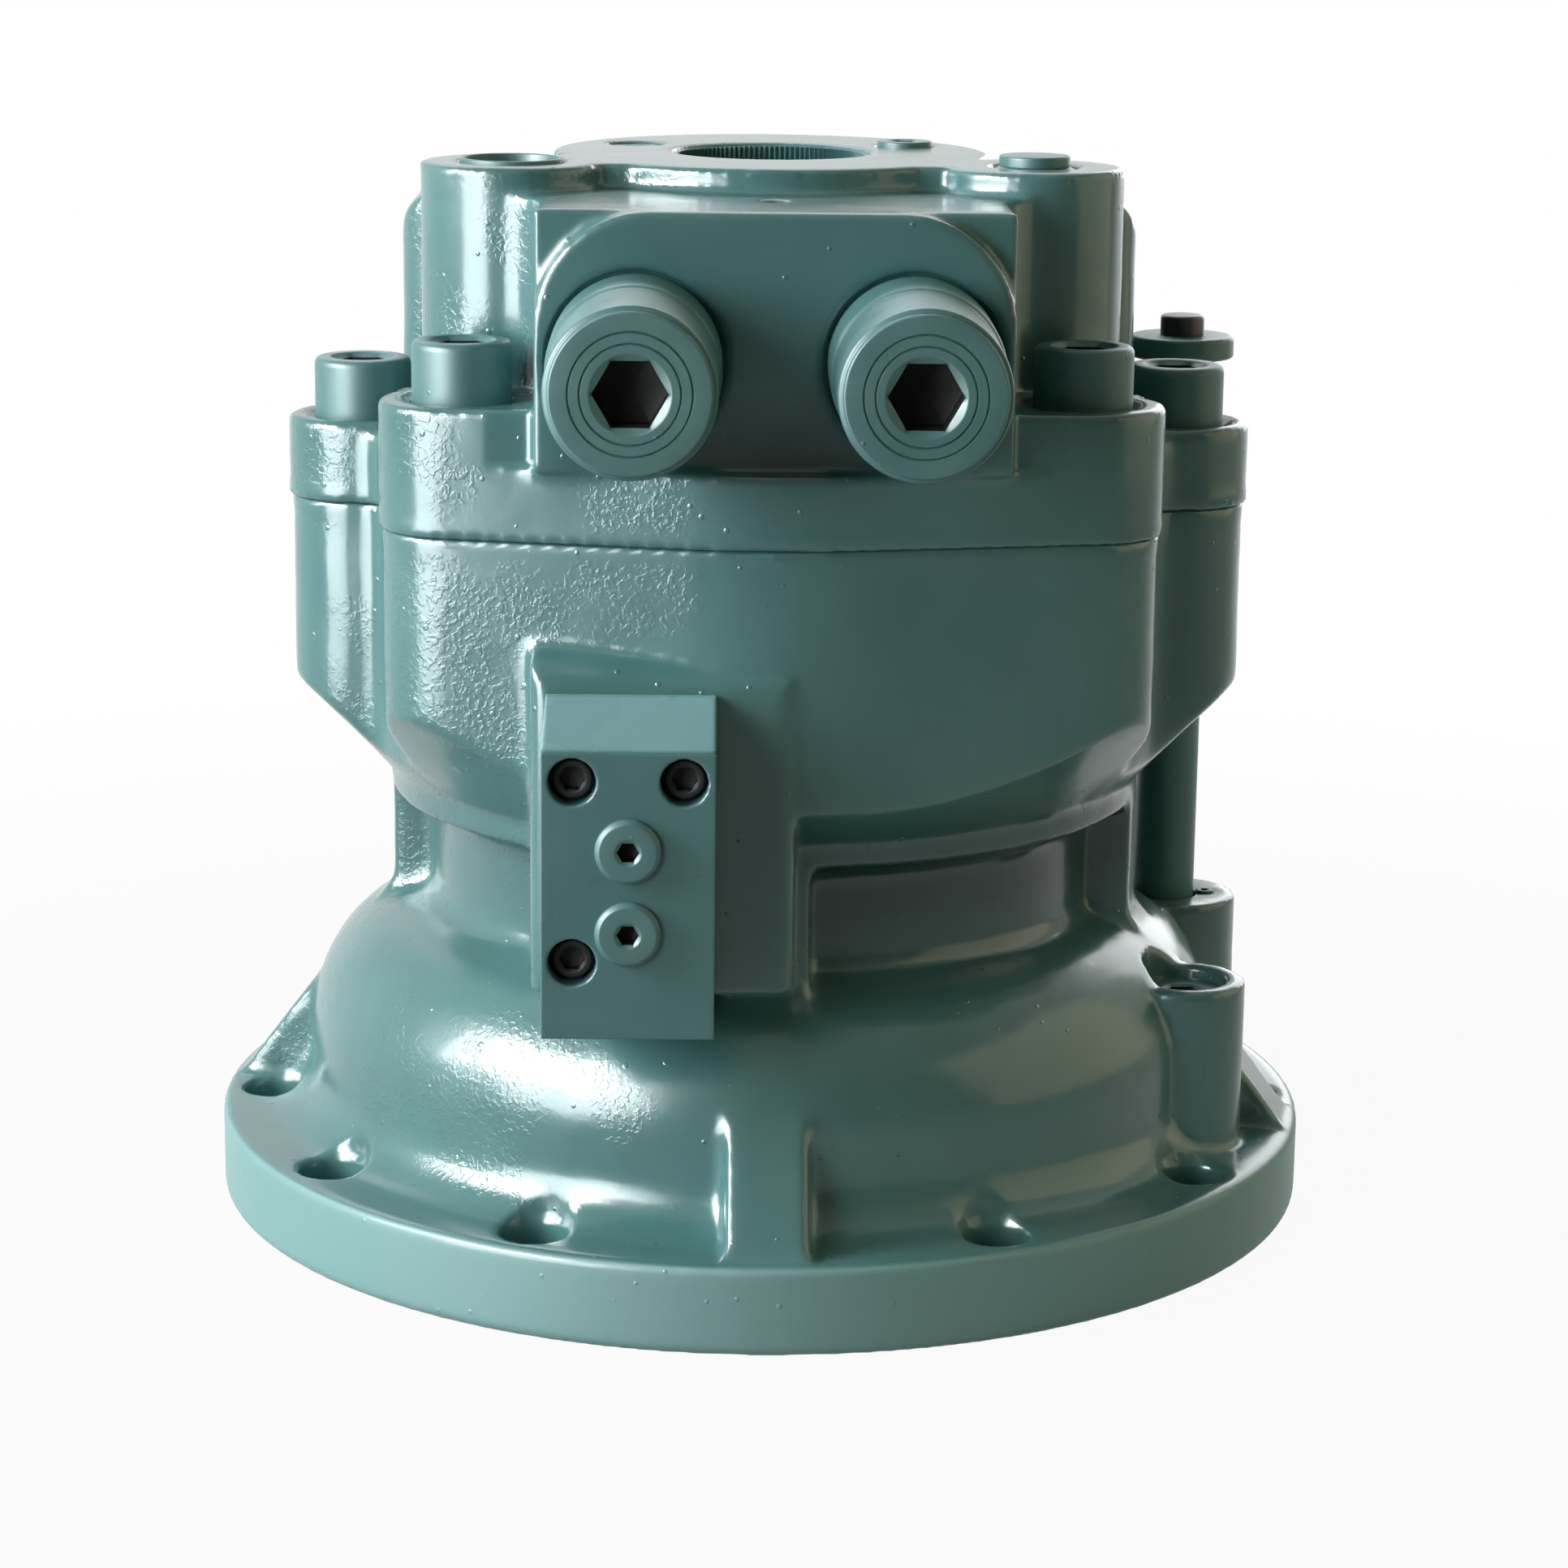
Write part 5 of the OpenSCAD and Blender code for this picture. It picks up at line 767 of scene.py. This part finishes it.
# Moulded phenolic resin is a near-black plastic with a soft shine and a slight mottle.
resin = bare("moulded_phenolic_resin")
m = resin
where = put(m, "ShaderNodeTexCoord", {})["Object"]
mottle = put(m, "ShaderNodeTexNoise", {"Vector": where, "Scale": 1000 / 4, "Detail": 3})["Fac"]
tint = put(
    m, "ShaderNodeMix", {0: mottle, 6: hex_colour("#0b100f"), 7: hex_colour("#1b2322")}, data_type="RGBA"
)[2]
normal = put(m, "ShaderNodeBump", {"Height": mottle, "Strength": 0.2, "Distance": 0.1 * MM})["Normal"]
surface = put(
    m, "ShaderNodeBsdfPrincipled", {"Base Color": tint, "Roughness": 0.35, "Normal": normal, "IOR": 1.55}
)["BSDF"]
put(m, "ShaderNodeOutputMaterial", {"Surface": surface})

cap_top_z, knob_z = 246.8, 246.9
outline = [
    (0, 6, 0, 0), (2.0, 6, 0, 0), (2.5, 6.6, 0, 0), (2.5, 24, 0, 0), (2.1, 24.3, 0, 0), (2.1, 24.9, 0, 0),
    (2.5, 25.2, 0, 0), (2.5, 38, 0, 0), (2.1, 38.3, 0, 0), (2.1, 38.9, 0, 0), (2.5, 39.2, 0, 0),
    (2.5, 231, 0, 0), (7.1, 231, 0, 0), (7.5, 231.4, 0, 0), (7.5, 240.3, 0, 0), (14.9, 240.3, 0, 0),
    (15.5, 240.9, 0, 0), (15.5, cap_top_z, 1.6, 0), (6.5, cap_top_z, 0, 0), (6.5, 252.8, 1.3, 0),
    (0, 252.8, 0, 0),
]
level_gauge = spun("level_gauge_turned", outline, "up", [(gauge_x, gauge_y, 0)])
stands_for(level_gauge, "level_gauge", "level_gauge", "steel", enamel_on_steel, resin, honed)
for face in level_gauge.data.polygons:
    if face.center.z > knob_z * MM:
        face.material_index = 1
    elif face.center.z < pipe_top_z * MM:
        face.material_index = 2

# Floor and light
# A white table in a room with a tall window on the left and a skylight at the back; the right and the front
# of the room are dimmer. The camera sees both table and room as plain white.

# Matt white board. To the camera it glows evenly, with a trace of shadow close to the motor. Mirrored in
# paint it dims towards the front right. As a light it only throws back what falls on it.
white = bare("matt_white_board")
m = white
seen = put(m, "ShaderNodeLightPath", {})
where = put(m, "ShaderNodeTexCoord", {})["Object"]
toward_window = put(
    m, "ShaderNodeVectorMath", {0: where, 1: (-0.55, 0.8, 0.0)}, operation="DOT_PRODUCT"
)["Value"]
bright = put(m, "ShaderNodeMapRange", {0: toward_window, 1: -0.5, 2: 0.3, 3: 0.25, 4: 1.0})["Result"]
mirror = put(
    m, "ShaderNodeMath", {0: seen["Is Glossy Ray"], 1: seen["Is Transmission Ray"]}, operation="MAXIMUM"
)["Value"]
mirror = put(m, "ShaderNodeMath", {0: mirror, 1: bright}, operation="MULTIPLY")["Value"]
mirror = put(m, "ShaderNodeMath", {0: mirror, 1: seen["Is Camera Ray"]}, operation="MAXIMUM")["Value"]
away = put(m, "ShaderNodeVectorMath", {0: where}, operation="LENGTH")["Value"]
share = put(m, "ShaderNodeMapRange", {0: away, 1: 0.28, 2: 0.7, 3: 0.94, 4: 1.0})["Result"]
direct = put(m, "ShaderNodeMath", {0: mirror, 1: share}, operation="MULTIPLY")["Value"]
board = put(m, "ShaderNodeBsdfDiffuse", {"Color": hex_colour("#a4a4a4")})["BSDF"]
glow = put(m, "ShaderNodeEmission", {"Color": (1, 1, 1, 1), "Strength": 1.0})["Emission"]
mixed = put(m, "ShaderNodeMixShader", {0: direct, 1: board, 2: glow})["Shader"]
put(m, "ShaderNodeOutputMaterial", {"Surface": mixed})
floor_mesh = bpy.data.meshes.new("floor")
half_m = 14
corners = [(-half_m, -half_m, 0), (half_m, -half_m, 0), (half_m, half_m, 0), (-half_m, half_m, 0)]
floor_mesh.from_pydata(corners, [], [(0, 1, 2, 3)])
floor_mesh.materials.append(white)
floor = bpy.data.objects.new("floor", floor_mesh)
bpy.context.scene.collection.objects.link(floor)
floor.location.z = -0.2 * MM


def lamp(name, place, aim, width, height, power, colour):
    """A window or a lit wall of the room, in metres and watts, that the camera itself doesn't see."""
    light = bpy.data.lights.new(name, "AREA")
    light.shape = "RECTANGLE"
    light.size = width
    light.size_y = height
    light.energy = power
    light.color = hex_colour(colour)[:3]
    lit = bpy.data.objects.new(name, light)
    lit.location = place
    lit.rotation_euler = (Vector(aim) - Vector(place)).to_track_quat("-Z", "Y").to_euler()
    lit.visible_camera = False
    bpy.context.scene.collection.objects.link(lit)
    return lit


lamp("window_left", (-1.28, -0.32, 0.68), (0, 0, 0.18), 0.5, 0.8, 28, "#fbfdff")
lamp("window_front_left", (-0.8, -1.15, 0.5), (0, 0, 0.18), 0.5, 0.6, 6, "#fcffff")
lamp("skylight_back", (-0.25, 1.15, 1.25), (0, 0, 0.2), 1.0, 0.5, 1.5, "#f8fcff")
lamp("room_back", (0.8, 1.4, 0.6), (0, 0, 0.15), 1.0, 0.9, 8, "#f8fcff")
lamp("room_right", (1.6, -0.2, 0.7), (0, 0, 0.15), 1.9, 1.5, 9, "#ffefc8")
# The windows' glints on gloss paint and bare metal: they give no diffuse light, they are only mirrored.
for glint in (
    lamp("window_glint_low", (-0.575, -0.555, 0.21), (0, 0, 0.21), 0.45, 0.4, 9, "#fafdff"),
    lamp("window_glint_high", (-1.07, -0.75, 0.72), (0, 0, 0.08), 0.6, 0.5, 48, "#fafdff"),
    lamp("skylight_glint", (-0.25, 1.15, 1.25), (0, 0, 0.2), 1.0, 0.5, 18, "#f6fdff"),
):
    glint.visible_diffuse = False

# The room's walls: mirrored, they are warm and dim to the front right; as a light they are weak.
room = bpy.data.worlds.new("room")
bpy.context.scene.world = room
room.use_nodes = True
room.node_tree.nodes.clear()
seen = put(room, "ShaderNodeLightPath", {})
way = put(room, "ShaderNodeTexCoord", {})["Generated"]
toward_window = put(
    room, "ShaderNodeVectorMath", {0: way, 1: (-0.55, 0.8, 0.2)}, operation="DOT_PRODUCT"
)["Value"]
bright = put(room, "ShaderNodeMapRange", {0: toward_window, 1: -0.8, 2: 0.6, 3: 0.2, 4: 1.0})["Result"]
mirror = put(
    room, "ShaderNodeMath", {0: seen["Is Glossy Ray"], 1: seen["Is Transmission Ray"]}, operation="MAXIMUM"
)["Value"]
level = put(room, "ShaderNodeMapRange", {0: mirror, 3: 0.06, 4: 1.0})["Result"]
indoors = put(room, "ShaderNodeMath", {0: bright, 1: level}, operation="MULTIPLY")["Value"]
strength = put(room, "ShaderNodeMapRange", {0: seen["Is Camera Ray"], 3: indoors, 4: 1.0})["Result"]
plain = put(room, "ShaderNodeMath", {0: bright, 1: seen["Is Camera Ray"]}, operation="MAXIMUM")["Value"]
warmth = put(
    room, "ShaderNodeMix", {0: plain, 6: hex_colour("#fff0cc"), 7: (1, 1, 1, 1)}, data_type="RGBA"
)[2]
sky = put(room, "ShaderNodeBackground", {"Color": warmth, "Strength": strength})["Background"]
put(room, "ShaderNodeOutputWorld", {"Surface": sky})

bpy.context.scene.view_settings.view_transform = "Standard"
